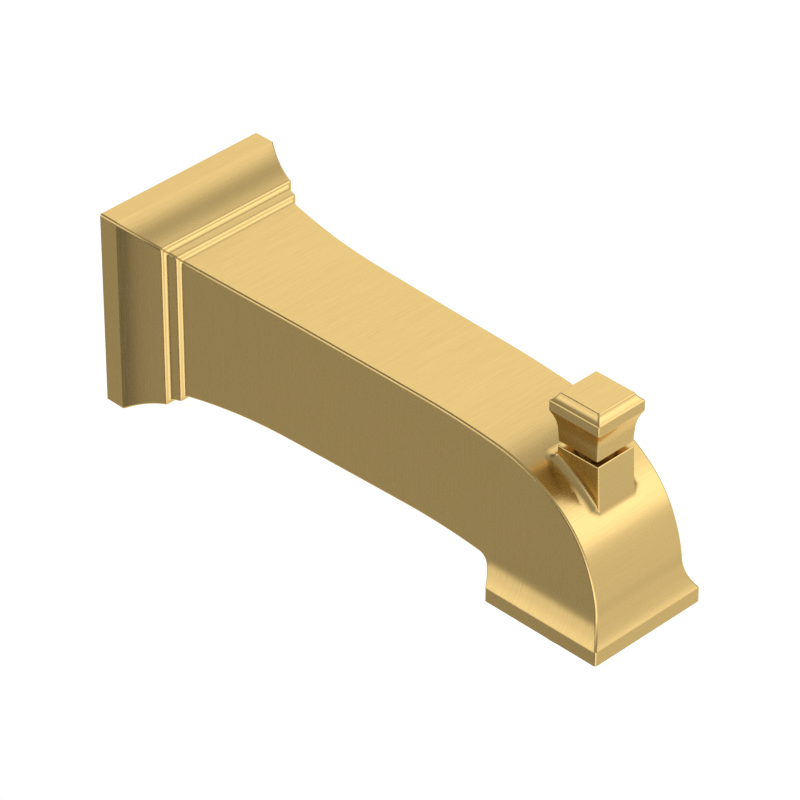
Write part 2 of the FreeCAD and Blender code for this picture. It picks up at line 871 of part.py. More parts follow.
def build_clamp_screw():
    """Grub screw in the boss under the arm; its point passes through the sleeve to the pipe."""
    body = new_body("clamp_screw")
    low = -d.clamp_tip - d.clamp_length
    high = -d.clamp_tip
    outline = [
        (ZERO, low, None),
        (d.clamp_radius - d.clamp_point, low, None),
        (d.clamp_radius, low + d.clamp_point, None),
        (d.clamp_radius, high - d.clamp_point, None),
        (d.clamp_radius - d.clamp_point, high, None),
        (ZERO, high, None),
    ]
    revolve(body, new_sketch(body, "clamp_section", "XZ", [outline]), "V_Axis")
    socket = new_sketch(body, "clamp_socket_hole", "XY", [hexagon(d.clamp_socket)], offset=low)
    pocket(body, socket, d.clamp_socket_depth, reverse=True)
    place(body, y=-d.clamp_reach)
    return finish(body)


def build_waterway_tube():
    """Straight tube that carries the water along the arm to the diverter."""
    body = new_body("waterway_tube")
    outline = rectangle(-tube_end, -tube_start, tube_bore, d.tube_radius)
    revolve(body, new_sketch(body, "tube_section", "YZ", [outline]), "H_Axis")
    return finish(body)


build_inlet_adapter()
build_adapter_screws()
inlet_ring_radius = groove_radius - d.inlet_ring_section - d.ring_free
ring("inlet_oring_rear", -d.inlet_ring_rear, inlet_ring_radius, d.inlet_ring_section)
ring("inlet_oring_front", -d.inlet_ring_front, inlet_ring_radius, d.inlet_ring_section)
build_clamp_screw()
build_waterway_tube()
tube_ring_radius = d.tube_radius + d.tube_ring_section + d.ring_free
ring("tube_oring_rear", -d.tube_ring_rear, tube_ring_radius, d.tube_ring_section)
ring("tube_oring_front", -tube_ring_front, tube_ring_radius, d.tube_ring_section)


# Diverter in the nose

housing_half = d.chamber_half - d.free
housing_radius = d.outlet_radius - d.free
housing_rear = chamber_rear + d.free
housing_front = chamber_front - d.free
plate_top = d.outlet_top - d.free
housing_top = d.chamber_top - d.free
housing_head = d.chamber_rear_top - d.free


def build_diverter_housing():
    """Moulded insert: tube socket behind, port in the middle, open channel for the gate in front."""
    body = new_body("diverter_housing")
    disc = new_sketch(body, "housing_disc", "XY", offset=d.housing_skirt_bottom,
                      circles=[(ZERO, nose, housing_radius)])
    pad(body, disc, plate_top - d.housing_skirt_bottom)
    skirt = new_sketch(body, "housing_skirt", "XY", circles=[(ZERO, nose, d.housing_skirt_inner)],
                       offset=d.housing_skirt_bottom)
    pocket(body, skirt, plate_top - d.housing_skirt_bottom - d.housing_plate_thick, reverse=True)
    low_block = rectangle(-housing_half, housing_half, -housing_front, -housing_rear)
    block_sketch = new_sketch(body, "housing_block", "XY", [low_block], offset=plate_top)
    pad(body, block_sketch, housing_top - plate_top)
    high_block = rectangle(-housing_half, housing_half, -port_face, -housing_rear)
    head_sketch = new_sketch(body, "housing_head", "XY", [high_block], offset=plate_top)
    pad(body, head_sketch, housing_head - plate_top)
    channel = rectangle(-d.channel_half, d.channel_half, -housing_front, -port_face)
    channel_sketch = new_sketch(body, "gate_channel", "XY", [channel], offset=housing_top)
    pocket(body, channel_sketch, housing_top - plate_top + d.housing_plate_thick)
    ring_seat = new_sketch(body, "ring_seat", "XZ", offset=housing_rear,
                           circles=[(ZERO, ZERO, d.tube_groove_radius)])
    pocket(body, ring_seat, d.tube_ring_section * 2 + d.seat * 2, reverse=True)
    socket = new_sketch(body, "tube_socket", "XZ", circles=[(ZERO, ZERO, tube_socket)], offset=housing_rear)
    pocket(body, socket, tube_end + d.free - housing_rear, reverse=True)
    port = new_sketch(body, "port", "XZ", circles=[(ZERO, d.port_axis, d.port_radius)], offset=housing_rear)
    pocket(body, port, port_face - housing_rear, reverse=True)
    seat = new_sketch(body, "port_seat_recess", "XZ", offset=port_face - d.port_seat_thick,
                      circles=[(ZERO, d.port_axis, d.port_seat_outer + d.fit)])
    pocket(body, seat, d.port_seat_thick, reverse=True)
    return finish(body)


def build_port_seat():
    """Rubber washer round the port."""
    body = new_body("port_seat")
    circles = [(ZERO, d.port_axis, d.port_seat_outer), (ZERO, d.port_axis, d.port_radius)]
    washer = new_sketch(body, "washer", "XZ", circles=circles, offset=port_face - d.port_seat_thick)
    pad(body, washer, d.port_seat_thick)
    return finish(body)


def build_guide_bush():
    """Flanged bush pressed into the pillar from above, with an inner groove for the rod's ring."""
    body = new_body("guide_bush")
    hole = d.rod_radius + d.fit
    top = d.pillar_top + d.bush_flange_height
    groove_low = d.rod_ring_height - d.rod_groove_width / 2
    groove_high = d.rod_ring_height + d.rod_groove_width / 2
    outline = [
        (hole, d.bush_bottom, None),
        (d.bush_radius, d.bush_bottom, None),
        (d.bush_radius, d.pillar_top, None),
        (d.bush_flange_radius, d.pillar_top, None),
        (d.bush_flange_radius, top, None),
        (hole, top, None),
        (hole, groove_high, None),
        (d.rod_groove_radius, groove_high, None),
        (d.rod_groove_radius, groove_low, None),
        (hole, groove_low, None),
    ]
    revolve(body, new_sketch(body, "bush_section", "XZ", [outline]), "V_Axis")
    place(body, y=nose)
    return finish(body)


def build_rod_oring():
    body = new_body("rod_oring")
    centre = d.rod_radius + d.rod_ring_section + d.ring_free
    outline = octagon(centre, d.rod_ring_height, d.rod_ring_section)
    section = new_sketch(body, "rod_ring_section_view", "XZ", [outline])
    revolve(body, section, "V_Axis")
    place(body, y=nose)
    return finish(body)


def build_lift_rod():
    """Rod from the knob down to the gate, with a thinner tail that is pinned in the gate."""
    body = new_body("lift_rod")
    outline = [
        (ZERO, d.gate_top - d.rod_tail_length, None),
        (d.rod_tail_radius, d.gate_top - d.rod_tail_length, None),
        (d.rod_tail_radius, d.gate_top, None),
        (d.rod_radius, d.gate_top, None),
        (d.rod_radius, d.rod_top, None),
        (ZERO, d.rod_top, None),
    ]
    revolve(body, new_sketch(body, "rod_section", "XZ", [outline]), "V_Axis")
    pin_hole = new_sketch(body, "rod_pin_hole", "YZ",
                          circles=[(ZERO, pin_height, d.gate_pin_radius + d.fit)])
    pocket(body, pin_hole, d.rod_radius * 2, both_ways=True)
    place(body, y=nose)
    return finish(body)


def build_diverter_gate():
    """Block that slides up the channel and shuts the port."""
    body = new_body("diverter_gate")
    plan = rectangle(-d.gate_half, d.gate_half, -d.gate_front, d.gate_rear)
    pad(body, new_sketch(body, "gate_plan", "XY", [plan], offset=d.gate_top - d.gate_height), d.gate_height)
    rod_hole = new_sketch(body, "gate_rod_hole", "XY", circles=[(ZERO, ZERO, d.rod_tail_radius + d.fit)],
                          offset=d.gate_top)
    pocket(body, rod_hole, d.rod_tail_length + d.seat)
    pin_hole = new_sketch(body, "gate_pin_hole", "YZ",
                          circles=[(ZERO, pin_height, d.gate_pin_radius + d.fit)])
    pocket(body, pin_hole, d.gate_half * 2, both_ways=True)
    place(body, y=nose)
    return finish(body)


def build_gate_pad():
    """Rubber facing of the gate, on the side of the port."""
    body = new_body("gate_pad")
    half = d.gate_half - d.gate_pad_margin
    low = d.gate_top - d.gate_height + d.gate_pad_margin
    face = rectangle(-half, half, low, d.gate_top - d.gate_pad_margin)
    start = -nose - d.gate_rear - d.gate_pad_thick
    pad(body, new_sketch(body, "pad_face", "XZ", [face], offset=start), d.gate_pad_thick)
    return finish(body)


def build_gate_pin():
    body = new_body("gate_pin")
    pad(body, new_sketch(body, "pin_section", "YZ", circles=[(ZERO, pin_height, d.gate_pin_radius)]),
        (d.gate_half - d.seat) * 2, both_ways=True)
    place(body, y=nose)
    return finish(body)


pin_height = d.gate_top - d.gate_pin_drop
build_diverter_housing()
build_port_seat()
build_guide_bush()
build_rod_oring()
build_lift_rod()
build_diverter_gate()
build_gate_pad()
build_gate_pin()


# Lift knob

def knob_outline():
    """Half section of the square knob: a neck that flares to the rim, a hollow bevel, a flat top."""
    rim = d.knob_rim_size / 2
    crown = d.knob_crown_size / 2
    return mirrored([
        (d.knob_neck_size / 2, d.knob_bottom, None),
        (7.7, d.knob_neck_top, -d.knob_neck_radius, "smooth"),
        (rim, d.knob_rim_bottom, None),
        (rim, d.knob_rim_top, -d.knob_crown_radius),
        (crown, d.knob_top, None),
    ])


def build_diverter_knob():
    front = new_body("knob_front_form")
    front_view = new_sketch(front, "knob_front_view", "XZ", [knob_outline()])
    pad(front, front_view, d.knob_rim_size, both_ways=True)
    side = new_body("knob_side_form")
    pad(side, new_sketch(side, "knob_side_view", "YZ", [knob_outline()]), d.knob_rim_size, both_ways=True)
    square = doc.addObject("Part::Common", "knob_form")
    square.Base = front
    square.Tool = side
    doc.recompute()
    body = new_body("diverter_knob")
    body.BaseFeature = square
    doc.recompute()
    rod_hole = new_sketch(body, "knob_rod_hole", "XY", circles=[(ZERO, ZERO, d.rod_radius + d.fit)],
                          offset=d.knob_bottom)
    pocket(body, rod_hole, d.knob_hole_top - d.knob_bottom, reverse=True)
    screw_hole = new_sketch(body, "knob_screw_hole", "XZ",
                            circles=[(ZERO, d.knob_screw_height, d.knob_screw_radius + d.fit)])
    pocket(body, screw_hole, d.knob_rim_size / 2)
    place(body, y=nose)
    return finish(body)


def build_knob_set_screw():
    """Grub screw in the back of the knob that grips the rod."""
    body = new_body("knob_set_screw")
    inner = d.rod_radius + d.fit
    outer = inner + d.knob_screw_length
    thread = new_sketch(body, "knob_screw_section", "XZ", offset=-outer,
                        circles=[(ZERO, ZERO, d.knob_screw_radius)])
    pad(body, thread, d.knob_screw_length)
    socket = new_sketch(body, "knob_screw_socket_hole", "XZ", [hexagon(d.knob_screw_socket)], offset=-outer)
    pocket(body, socket, d.knob_screw_socket_depth, reverse=True)
    place(body, y=nose, z=d.knob_screw_height)
    return finish(body)


build_diverter_knob()
build_knob_set_screw()


# Outlet

nozzle_bottom = -d.foot_drop - d.nozzle_drop


def build_outlet_nozzle():
    """Turned ring under the foot, with a spigot up into the casting and a lip inside at the mouth."""
    body = new_body("outlet_nozzle")
    spigot = d.outlet_radius - d.seat
    edge = d.nozzle_radius - d.nozzle_rounding
    outline = [
        (d.nozzle_bore, d.nozzle_spigot_top, None),
        (d.nozzle_bore, nozzle_bottom + d.nozzle_lip_height, None),
        (d.nozzle_lip, nozzle_bottom + d.nozzle_lip_height, None),
        (d.nozzle_lip, nozzle_bottom, None),
        (edge, nozzle_bottom, d.nozzle_rounding),
        (d.nozzle_radius, nozzle_bottom + d.nozzle_rounding, None),
        (d.nozzle_radius, -d.foot_drop, None),
        (spigot, -d.foot_drop, None),
        (spigot, d.nozzle_spigot_top, None),
    ]
    revolve(body, new_sketch(body, "nozzle_section", "XZ", [outline]), "V_Axis")
    place(body, y=nose)
    return finish(body)


def build_nozzle_gasket():
    """Flat washer between the nozzle and the skirt of the housing."""
    body = new_body("nozzle_gasket")
    circles = [(ZERO, nose, housing_radius - d.seat), (ZERO, nose, d.housing_skirt_inner + d.seat)]
    flat = new_sketch(body, "gasket_plan", "XY", circles=circles, offset=d.nozzle_spigot_top)
    pad(body, flat, d.housing_skirt_bottom - d.nozzle_spigot_top)
    return finish(body)


def build_flow_guide():
    """Round grid of crossing vanes on the nozzle's lip, which straightens the stream."""
    body = new_body("flow_guide")
    outer = d.nozzle_bore - d.seat * 2
    inner = outer - d.guide_rim
    low = nozzle_bottom + d.nozzle_lip_height + d.seat
    rim = new_sketch(body, "guide_rim_plan", "XY", offset=low,
                     circles=[(ZERO, ZERO, outer), (ZERO, ZERO, inner)])
    pad(body, rim, d.guide_height)
    into_rim = outer - d.guide_rim / 2
    side_reach = root(into_rim * into_rim - d.vane_spacing * d.vane_spacing)
    thick = d.vane_thick / 2
    rows = [(-d.vane_spacing, side_reach), (ZERO, into_rim), (d.vane_spacing, side_reach)]
    across = [rectangle(-reach, reach, at - thick, at + thick) for at, reach in rows]
    along = [rectangle(at - thick, at + thick, -reach, reach) for at, reach in rows]
    pad(body, new_sketch(body, "vanes_across", "XY", across, offset=low), d.guide_height)
    pad(body, new_sketch(body, "vanes_along", "XY", along, offset=low), d.guide_height)
    place(body, y=nose)
    return finish(body)


build_outlet_nozzle()
build_nozzle_gasket()
build_flow_guide()


# Checks and files

doc.recompute()
for thing in doc.Objects:
    if "Invalid" in thing.State or "Error" in thing.State:
        raise RuntimeError("%s: %s" % (thing.Label, thing.State))
    is_part = hasattr(thing, "Shape") and thing.TypeId.startswith("Part")
    if is_part and not thing.TypeId.endswith("CoordinateSystem"):
        if thing.Shape.isNull() or not thing.Shape.isValid():
            raise RuntimeError("%s: no valid shape" % thing.Label)

os.makedirs("parts", exist_ok=True)
for thing in parts:
    thing.Shape.exportStep("parts/%s.step" % thing.Label)
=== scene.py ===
import json
import math
import bmesh
import bpy
from mathutils import Matrix, Vector
from mathutils.bvhtree import BVHTree

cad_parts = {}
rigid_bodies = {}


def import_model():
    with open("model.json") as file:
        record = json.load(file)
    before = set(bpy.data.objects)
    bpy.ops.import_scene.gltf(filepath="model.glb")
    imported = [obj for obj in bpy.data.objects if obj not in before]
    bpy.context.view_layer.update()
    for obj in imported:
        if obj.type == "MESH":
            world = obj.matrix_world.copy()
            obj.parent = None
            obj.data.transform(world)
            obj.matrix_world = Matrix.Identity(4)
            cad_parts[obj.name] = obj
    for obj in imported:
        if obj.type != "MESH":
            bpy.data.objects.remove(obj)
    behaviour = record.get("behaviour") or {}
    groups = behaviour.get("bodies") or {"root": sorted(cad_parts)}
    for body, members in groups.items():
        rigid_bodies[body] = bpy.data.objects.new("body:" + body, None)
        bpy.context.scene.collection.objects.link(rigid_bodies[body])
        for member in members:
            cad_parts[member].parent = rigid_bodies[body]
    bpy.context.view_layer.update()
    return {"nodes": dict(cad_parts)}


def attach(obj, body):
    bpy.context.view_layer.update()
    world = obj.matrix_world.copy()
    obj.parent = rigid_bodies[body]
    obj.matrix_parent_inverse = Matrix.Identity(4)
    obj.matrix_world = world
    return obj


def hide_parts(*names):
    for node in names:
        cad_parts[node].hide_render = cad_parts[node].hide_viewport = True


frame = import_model()
nodes = frame["nodes"]

# Camera, floor and studio light.
# The spout is fixed to a wall, so it hangs in the air over a plain pale floor. The surround brightens
# downwards and holds large soft panels, because satin metal shows the tone of what it mirrors.

# The camera stands where the photograph's perspective puts it, and its focal length is in pixels of the
# picture.

azimuth = math.radians(-45)
elevation = math.radians(35.264)
picture_width = 800
focal_pixels = 5055.4
sensor_width = 36
distance = 1.51316
aim_right = 0.06513
aim_up = -0.04006

toward_camera = Vector((
    math.sin(azimuth) * math.cos(elevation),
    -math.cos(azimuth) * math.cos(elevation),
    math.sin(elevation),
))
to_right = Vector((math.cos(azimuth), math.sin(azimuth), 0))
upward = toward_camera.cross(to_right)
stand = aim_right * to_right + aim_up * upward + distance * toward_camera

camera_data = bpy.data.cameras.new("camera")
camera_data.sensor_width = sensor_width
camera_data.lens = focal_pixels * sensor_width / picture_width
camera_data.clip_start = 0.05
camera_data.clip_end = 50
camera = bpy.data.objects.new("camera", camera_data)
bpy.context.scene.collection.objects.link(camera)
camera.matrix_world = Matrix((
    (to_right.x, upward.x, toward_camera.x, stand.x),
    (to_right.y, upward.y, toward_camera.y, stand.y),
    (to_right.z, upward.z, toward_camera.z, stand.z),
    (0, 0, 0, 1),
))
bpy.context.scene.camera = camera
bpy.context.scene.view_settings.view_transform = "Standard"

floor_radius = 0.34
floor_middle = (0.26, 0.05, -0.16)
floor_grey = (0.85, 0.85, 0.85)
floor_glow_level = 0.4
white = (1, 1, 1, 1)

bpy.ops.object.select_all(action="DESELECT")
bpy.ops.mesh.primitive_circle_add(vertices=96, radius=floor_radius, fill_type="NGON", location=floor_middle)
floor = bpy.context.active_object
floor.name = "floor"


def seen_directly(tree):
    """1 for what the camera sees, straight or in metal or through glass, and 0 for what only sheds light."""
    path = tree.nodes.new("ShaderNodeLightPath")
    seen = path.outputs["Is Camera Ray"]
    for other in ("Is Glossy Ray", "Is Transmission Ray"):
        either = tree.nodes.new("ShaderNodeMath")
        either.operation = "MAXIMUM"
        tree.links.new(seen, either.inputs[0])
        tree.links.new(path.outputs[other], either.inputs[1])
        seen = either.outputs[0]
    return seen


floor_paint = bpy.data.materials.new("pale_floor")
floor_paint.use_nodes = True
tree = floor_paint.node_tree
tree.nodes.clear()
floor_out = tree.nodes.new("ShaderNodeOutputMaterial")
floor_diffuse = tree.nodes.new("ShaderNodeBsdfDiffuse")
floor_diffuse.inputs["Color"].default_value = (*floor_grey, 1)
floor_glow = tree.nodes.new("ShaderNodeEmission")
floor_glow.inputs["Color"].default_value = white
floor_glow.inputs["Strength"].default_value = floor_glow_level
floor_sum = tree.nodes.new("ShaderNodeAddShader")
floor_mix = tree.nodes.new("ShaderNodeMixShader")
tree.links.new(seen_directly(tree), floor_mix.inputs["Fac"])
tree.links.new(floor_diffuse.outputs[0], floor_mix.inputs[1])
tree.links.new(floor_diffuse.outputs[0], floor_sum.inputs[0])
tree.links.new(floor_glow.outputs[0], floor_sum.inputs[1])
tree.links.new(floor_sum.outputs[0], floor_mix.inputs[2])
tree.links.new(floor_mix.outputs[0], floor_out.inputs["Surface"])
floor.data.materials.append(floor_paint)

# The surround has three levels: an even one that lights matt surfaces, plain white for the camera, and the
# graded one with the panels, which only gloss shows.

even_level = 0.85
upper_level = 0.42
lower_level = 1.0
grading_starts = 0.1
grading_ends = -0.3

# Each panel has the way to its middle, the two angles from there between which it fades out, and its level,
# which is added to the surround and is below zero for a dark card.
soft_panels = (
    ((0.68, 0.64, 0.40), 17, 43, 0.76),        # shows in the tops of the arm, flange and knob
    ((0.60, 0.44, 0.67), 5, 18, 0.22),         # where the arm's top starts to arch
    ((0.577, -0.50, 0.62), 23, 37, 1.0),       # in the brow of the arch
    ((0.577, -0.73, 0.30), 10, 32, 0.6),       # in the cheek below the brow
    ((0.577, -0.42, -0.70), 15, 30, -0.16),    # in the lower front
    ((-0.78, 0.577, 0.18), 17, 28, 1.15),      # in the bevels and the flare on the left
    ((0.02, 0.60, 0.80), 8, 22, -0.34),        # in the arrises between the top and the left side
    ((-0.84, -0.50, 0.22), 14, 25, 0.8),       # in corners that face left, forward and up
    ((-0.62, -0.70, -0.34), 16, 27, 0.9),      # in the risers of the moulding on the left
    ((-0.25, -0.93, -0.15), 20, 34, 0.4),      # in the arrises between the left side and the front
    ((-0.96, 0.05, -0.18), 8, 20, -0.3),       # in left faces that lean a little forward and up
    ((-0.74, 0.34, -0.58), 25, 58, -0.56),     # in the left side
    ((-0.80, -0.34, -0.52), 7, 21, -0.42),     # in the cove on the left, near its front
)

world = bpy.data.worlds.new("studio_surround")
bpy.context.scene.world = world
world.cycles.sampling_method = "NONE"
world.use_nodes = True
tree = world.node_tree
tree.nodes.clear()
surround_out = tree.nodes.new("ShaderNodeOutputWorld")
surround_even = tree.nodes.new("ShaderNodeBackground")
surround_even.inputs["Color"].default_value = white
surround_even.inputs["Strength"].default_value = even_level
surround_graded = tree.nodes.new("ShaderNodeBackground")
surround_graded.inputs["Color"].default_value = white
surround_white = tree.nodes.new("ShaderNodeBackground")
surround_white.inputs["Color"].default_value = white
surround_white.inputs["Strength"].default_value = 1.0
seen_mix = tree.nodes.new("ShaderNodeMixShader")
surround_mix = tree.nodes.new("ShaderNodeMixShader")
surround_path = tree.nodes.new("ShaderNodeLightPath")
surround_way = tree.nodes.new("ShaderNodeTexCoord")


def panel(way, full_angle, last_angle, level):
    """Level inside a round panel about a way, which fades to 0 between the two angles from its middle."""
    turn = tree.nodes.new("ShaderNodeVectorMath")
    turn.operation = "DOT_PRODUCT"
    turn.inputs[1].default_value = Vector(way).normalized()
    tree.links.new(surround_way.outputs["Generated"], turn.inputs[0])
    fade = tree.nodes.new("ShaderNodeMapRange")
    fade.interpolation_type = "SMOOTHSTEP"
    fade.inputs["From Min"].default_value = math.cos(math.radians(last_angle))
    fade.inputs["From Max"].default_value = math.cos(math.radians(full_angle))
    fade.inputs["To Max"].default_value = level
    tree.links.new(turn.outputs["Value"], fade.inputs["Value"])
    return fade.outputs["Result"]


def add_up(levels):
    total = levels[0]
    for level in levels[1:]:
        step = tree.nodes.new("ShaderNodeMath")
        step.operation = "ADD"
        tree.links.new(total, step.inputs[0])
        tree.links.new(level, step.inputs[1])
        total = step.outputs[0]
    return total


height = tree.nodes.new("ShaderNodeSeparateXYZ")
tree.links.new(surround_way.outputs["Generated"], height.inputs[0])
grading = tree.nodes.new("ShaderNodeMapRange")
grading.interpolation_type = "SMOOTHSTEP"
grading.inputs["From Min"].default_value = grading_starts
grading.inputs["From Max"].default_value = grading_ends
grading.inputs["To Min"].default_value = upper_level
grading.inputs["To Max"].default_value = lower_level
tree.links.new(height.outputs["Z"], grading.inputs["Value"])
graded_level = add_up([grading.outputs["Result"]] + [panel(*sizes) for sizes in soft_panels])
tree.links.new(graded_level, surround_graded.inputs["Strength"])
tree.links.new(seen_directly(tree), seen_mix.inputs["Fac"])
tree.links.new(surround_even.outputs[0], seen_mix.inputs[1])
tree.links.new(surround_graded.outputs[0], seen_mix.inputs[2])
tree.links.new(surround_path.outputs["Is Camera Ray"], surround_mix.inputs["Fac"])
tree.links.new(seen_mix.outputs[0], surround_mix.inputs[1])
tree.links.new(surround_white.outputs[0], surround_mix.inputs[2])
tree.links.new(surround_mix.outputs[0], surround_out.inputs["Surface"])


# Spout casting.
# One brass casting, plated in gold: a square flange with a stepped cove moulding, an arched arm that tapers
# to its nose, and a flared square foot round the outlet. Belt grinding leaves its arrises rounded to 0.8 mm.

# Sizes are in millimetres. A point is (y, z) in the plane of symmetry, (y, inset) in the moulding and (x, y)
# in plan.

mm = 0.001
casting_arris = 0.8
corner_steps = 5
side_steps = 26

flange_half_width = 31.75
flange_half_height = 33.25
plate_edge = (-6.8, 0)
cove_end = (-20.2, 5.4)
rear_riser = (-20.4, 5.95)
rear_nook_end = (-22.05, 7.15)
step_end = (-24.2, 7.55)
front_riser = (-24.65, 8.49)
root_y = -25.55
root_inset = 9.15
cove_radius = 42
rear_nook_radius = 1.75
front_nook_radius = 1.2
cove_end_rounding = 0.55
step_end_rounding = 0.6

foot_front = -190.75
foot_rear = -147.45
foot_bottom = -34.2
band_top = -29.5
band_rounding = 0.3

root_in_plan = (flange_half_width - root_inset, root_y)
sweep_in_plan = (19.34, -66)
nose_in_plan = (17.92, foot_front)
side_sweep_radius = 348.3
side_taper_radius = 5800

flare_rear = -118
flare_top = -18.5
flare_drop = flare_top - band_top
foot_half_width = 21.65
side_flare_radius = 18.35
flare_blend = 0.12

# The arm's top line runs from the root over the arch to the foot's front, and its underside from the root
# to the foot's rear. The radii come in the order of the arcs, and the line is straight between them.

root_top = (root_y, flange_half_height - root_inset)
sweep_end_top = (-62, 21.57)
shoulder = (-118, 20.75)
brow = (-148, 18.76)
cheek = (-172, 9.30)
lip = (-183, -4.18)
front_flare = (-187.1, -18.16)
front_band = (foot_front, band_top)
front_bottom = (foot_front, foot_bottom)
top_sweep_radius = -334.4
shoulder_radius = 292
brow_radius = 50.6
cheek_radius = 34.7
lip_radius = 50.3
front_flare_radius = -24

root_under = (root_y, root_inset - flange_half_height)
sweep_end_under = (-62, -21.15)
under_crown = (-112, -20.2)
belly_end = (-141.8, -21.64)
throat = (-145.15, -24.1)
rear_band = (foot_rear, band_top)
rear_bottom = (foot_rear, foot_bottom)
under_sweep_radius = 296.2
belly_radius = 222
throat_radius = 4.2
rear_flare_radius = 161.61


def arc_middle(start, end, radius):
    """Centre of an arc, on the left of its way for a positive radius."""
    (ax, ay), (bx, by) = start, end
    chord = math.hypot(bx - ax, by - ay)
    rise = math.copysign(math.sqrt(radius * radius - chord * chord / 4), radius)
    return (ax + bx) / 2 - rise * (by - ay) / chord, (ay + by) / 2 + rise * (bx - ax) / chord


def arc_points(start, end, radius, count):
    """Points after start up to end; a radius of 0 is a straight line."""
    (ay, az), (by, bz) = start, end
    steps = range(1, count + 1)
    if not radius:
        return [(ay + (by - ay) * step / count, az + (bz - az) * step / count) for step in steps]
    cy, cz = arc_middle(start, end, radius)
    first = math.atan2(az - cz, ay - cy)
    sweep = math.copysign(2 * math.asin(math.dist(start, end) / 2 / abs(radius)), radius)
    spots = []
    for step in steps:
        angle = first + sweep * step / count
        spots.append((cy + abs(radius) * math.cos(angle), cz + abs(radius) * math.sin(angle)))
    return spots


def along(path, count):
    """Points at equal steps along a way of arcs, given as corners (y, z, radius to the next corner)."""
    fine_steps = 60
    fine = [path[0][:2]]
    for here, there in zip(path, path[1:]):
        fine += arc_points(here[:2], there[:2], here[2], fine_steps)
    reach = [0]
    for here, there in zip(fine, fine[1:]):
        reach.append(reach[-1] + math.dist(here, there))
    spots = []
    index = 0
    for step in range(1, count + 1):
        goal = reach[-1] * step / count
        while index < len(reach) - 2 and reach[index + 1] < goal:
            index += 1
        share = (goal - reach[index]) / (reach[index + 1] - reach[index])
        spots.append(tuple(a + (b - a) * share for a, b in zip(fine[index], fine[index + 1])))
    return spots


def half_width_on_arc(y, start, end, radius):
    """Half width at y on an arc in plan whose hollow side faces outwards."""
    cx, cy = arc_middle(start, end, radius)
    return cx - math.sqrt(radius * radius - (y - cy) ** 2)


def arm_half_width(y, z):
    """Half width of the arm at a point of its side, with the foot's flare blended in over the outlet."""
    if y > sweep_in_plan[1]:
        plan = half_width_on_arc(y, root_in_plan, sweep_in_plan, side_sweep_radius)
    else:
        plan = half_width_on_arc(y, sweep_in_plan, nose_in_plan, side_taper_radius)
    if y > flare_rear:
        return plan
    drop = min(max(flare_top - z, 0), flare_drop)
    flare = nose_in_plan[0]
    if drop > 0:
        flare = half_width_on_arc(-drop, (flare, 0), (foot_half_width, -flare_drop), side_flare_radius)
    return (plan + flare + math.sqrt((plan - flare) ** 2 + flare_blend * flare_blend)) / 2 - flare_blend / 8


def section(top, bottom, half_width):
    """Closed outline across the casting, from its top line to its underside and back on the other side."""
    length = math.dist(top, bottom)
    down = ((bottom[0] - top[0]) / length, (bottom[1] - top[1]) / length)
    spots = []
    for step in range(corner_steps + 1):
        angle = math.pi / 2 * step / corner_steps
        spots.append((casting_arris * (1 - math.sin(angle)), casting_arris * (1 - math.cos(angle))))
    for step in range(1, side_steps):
        spots.append((0, casting_arris + (length - 2 * casting_arris) * step / side_steps))
    for step in range(corner_steps, -1, -1):
        angle = math.pi / 2 * step / corner_steps
        spots.append((casting_arris * (1 - math.sin(angle)), length - casting_arris * (1 - math.cos(angle))))
    half = []
    for inward, deep in spots:
        y, z = top[0] + down[0] * deep, top[1] + down[1] * deep
        half.append(Vector((half_width(y, z) - inward, y, z)) * mm)
    return half + [Vector((-spot.x, spot.y, spot.z)) for spot in reversed(half)]


def flange_section(y, inset):
    """Outline across the flange, which is set in by the same amount on its four sides."""
    half_height = flange_half_height - inset
    return section((y, half_height), (y, -half_height), lambda y, z: flange_half_width - inset)


def toward(start, end, reach):
    """Point on the way from start to end, at the given reach or just short of the end."""
    way = end - start
    farthest = way.length * 0.9
    return start + way.normalized() * min(reach, farthest) if way.length else start


def soften(outlines, index, reach):
    """Replace a sharp outline by a small rounding that starts and ends at reach from it."""
    before, here, after = outlines[index - 1], outlines[index], outlines[index + 1]
    last_step = 4
    rounded = []
    for step in range(last_step + 1):
        share = step / last_step
        ring = []
        for a, b, c in zip(before, here, after):
            a, c = toward(b, a, reach * mm), toward(b, c, reach * mm)
            ring.append(a * (1 - share) ** 2 + b * 2 * share * (1 - share) + c * share ** 2)
        rounded.append(ring)
    outlines[index:index + 1] = rounded


def drawn_out(name, outlines):
    """Closed form whose end face is extruded from outline to outline."""
    bpy.ops.object.select_all(action="DESELECT")
    bpy.ops.mesh.primitive_circle_add(vertices=len(outlines[0]), fill_type="NGON")
    form = bpy.context.active_object
    form.name = name
    bpy.ops.object.mode_set(mode="EDIT")
    cage = bmesh.from_edit_mesh(form.data)
    ring = list(cage.verts)
    for number, outline in enumerate(outlines):
        if number:
            order = {tuple(round(c, 8) for c in vert.co): turn for turn, vert in enumerate(ring)}
            bpy.ops.mesh.extrude_region_move()
            cage = bmesh.from_edit_mesh(form.data)
            face = [face for face in cage.faces if face.select][0]
            ring = sorted(face.verts, key=lambda vert: order[tuple(round(c, 8) for c in vert.co)])
        for vert, spot in zip(ring, outline):
            vert.co = spot
        cage.normal_update()
    bpy.ops.mesh.select_all(action="SELECT")
    bpy.ops.mesh.normals_make_consistent(inside=False)
    bpy.ops.object.mode_set(mode="OBJECT")
    return form


cove = arc_points(plate_edge, cove_end, cove_radius, 16)
rear_nook = [rear_riser] + arc_points(rear_riser, rear_nook_end, rear_nook_radius, 8)
front_nook = [front_riser] + arc_points(front_riser, (root_y, root_inset), front_nook_radius, 7)
moulding = cove + rear_nook + [step_end] + front_nook
outlines = [flange_section(y, inset) for y, inset in [(0, 0), plate_edge] + moulding]
root_index = len(outlines) - 1
cove_index = root_index - len(moulding) + len(cove)
step_index = root_index - len(front_nook)

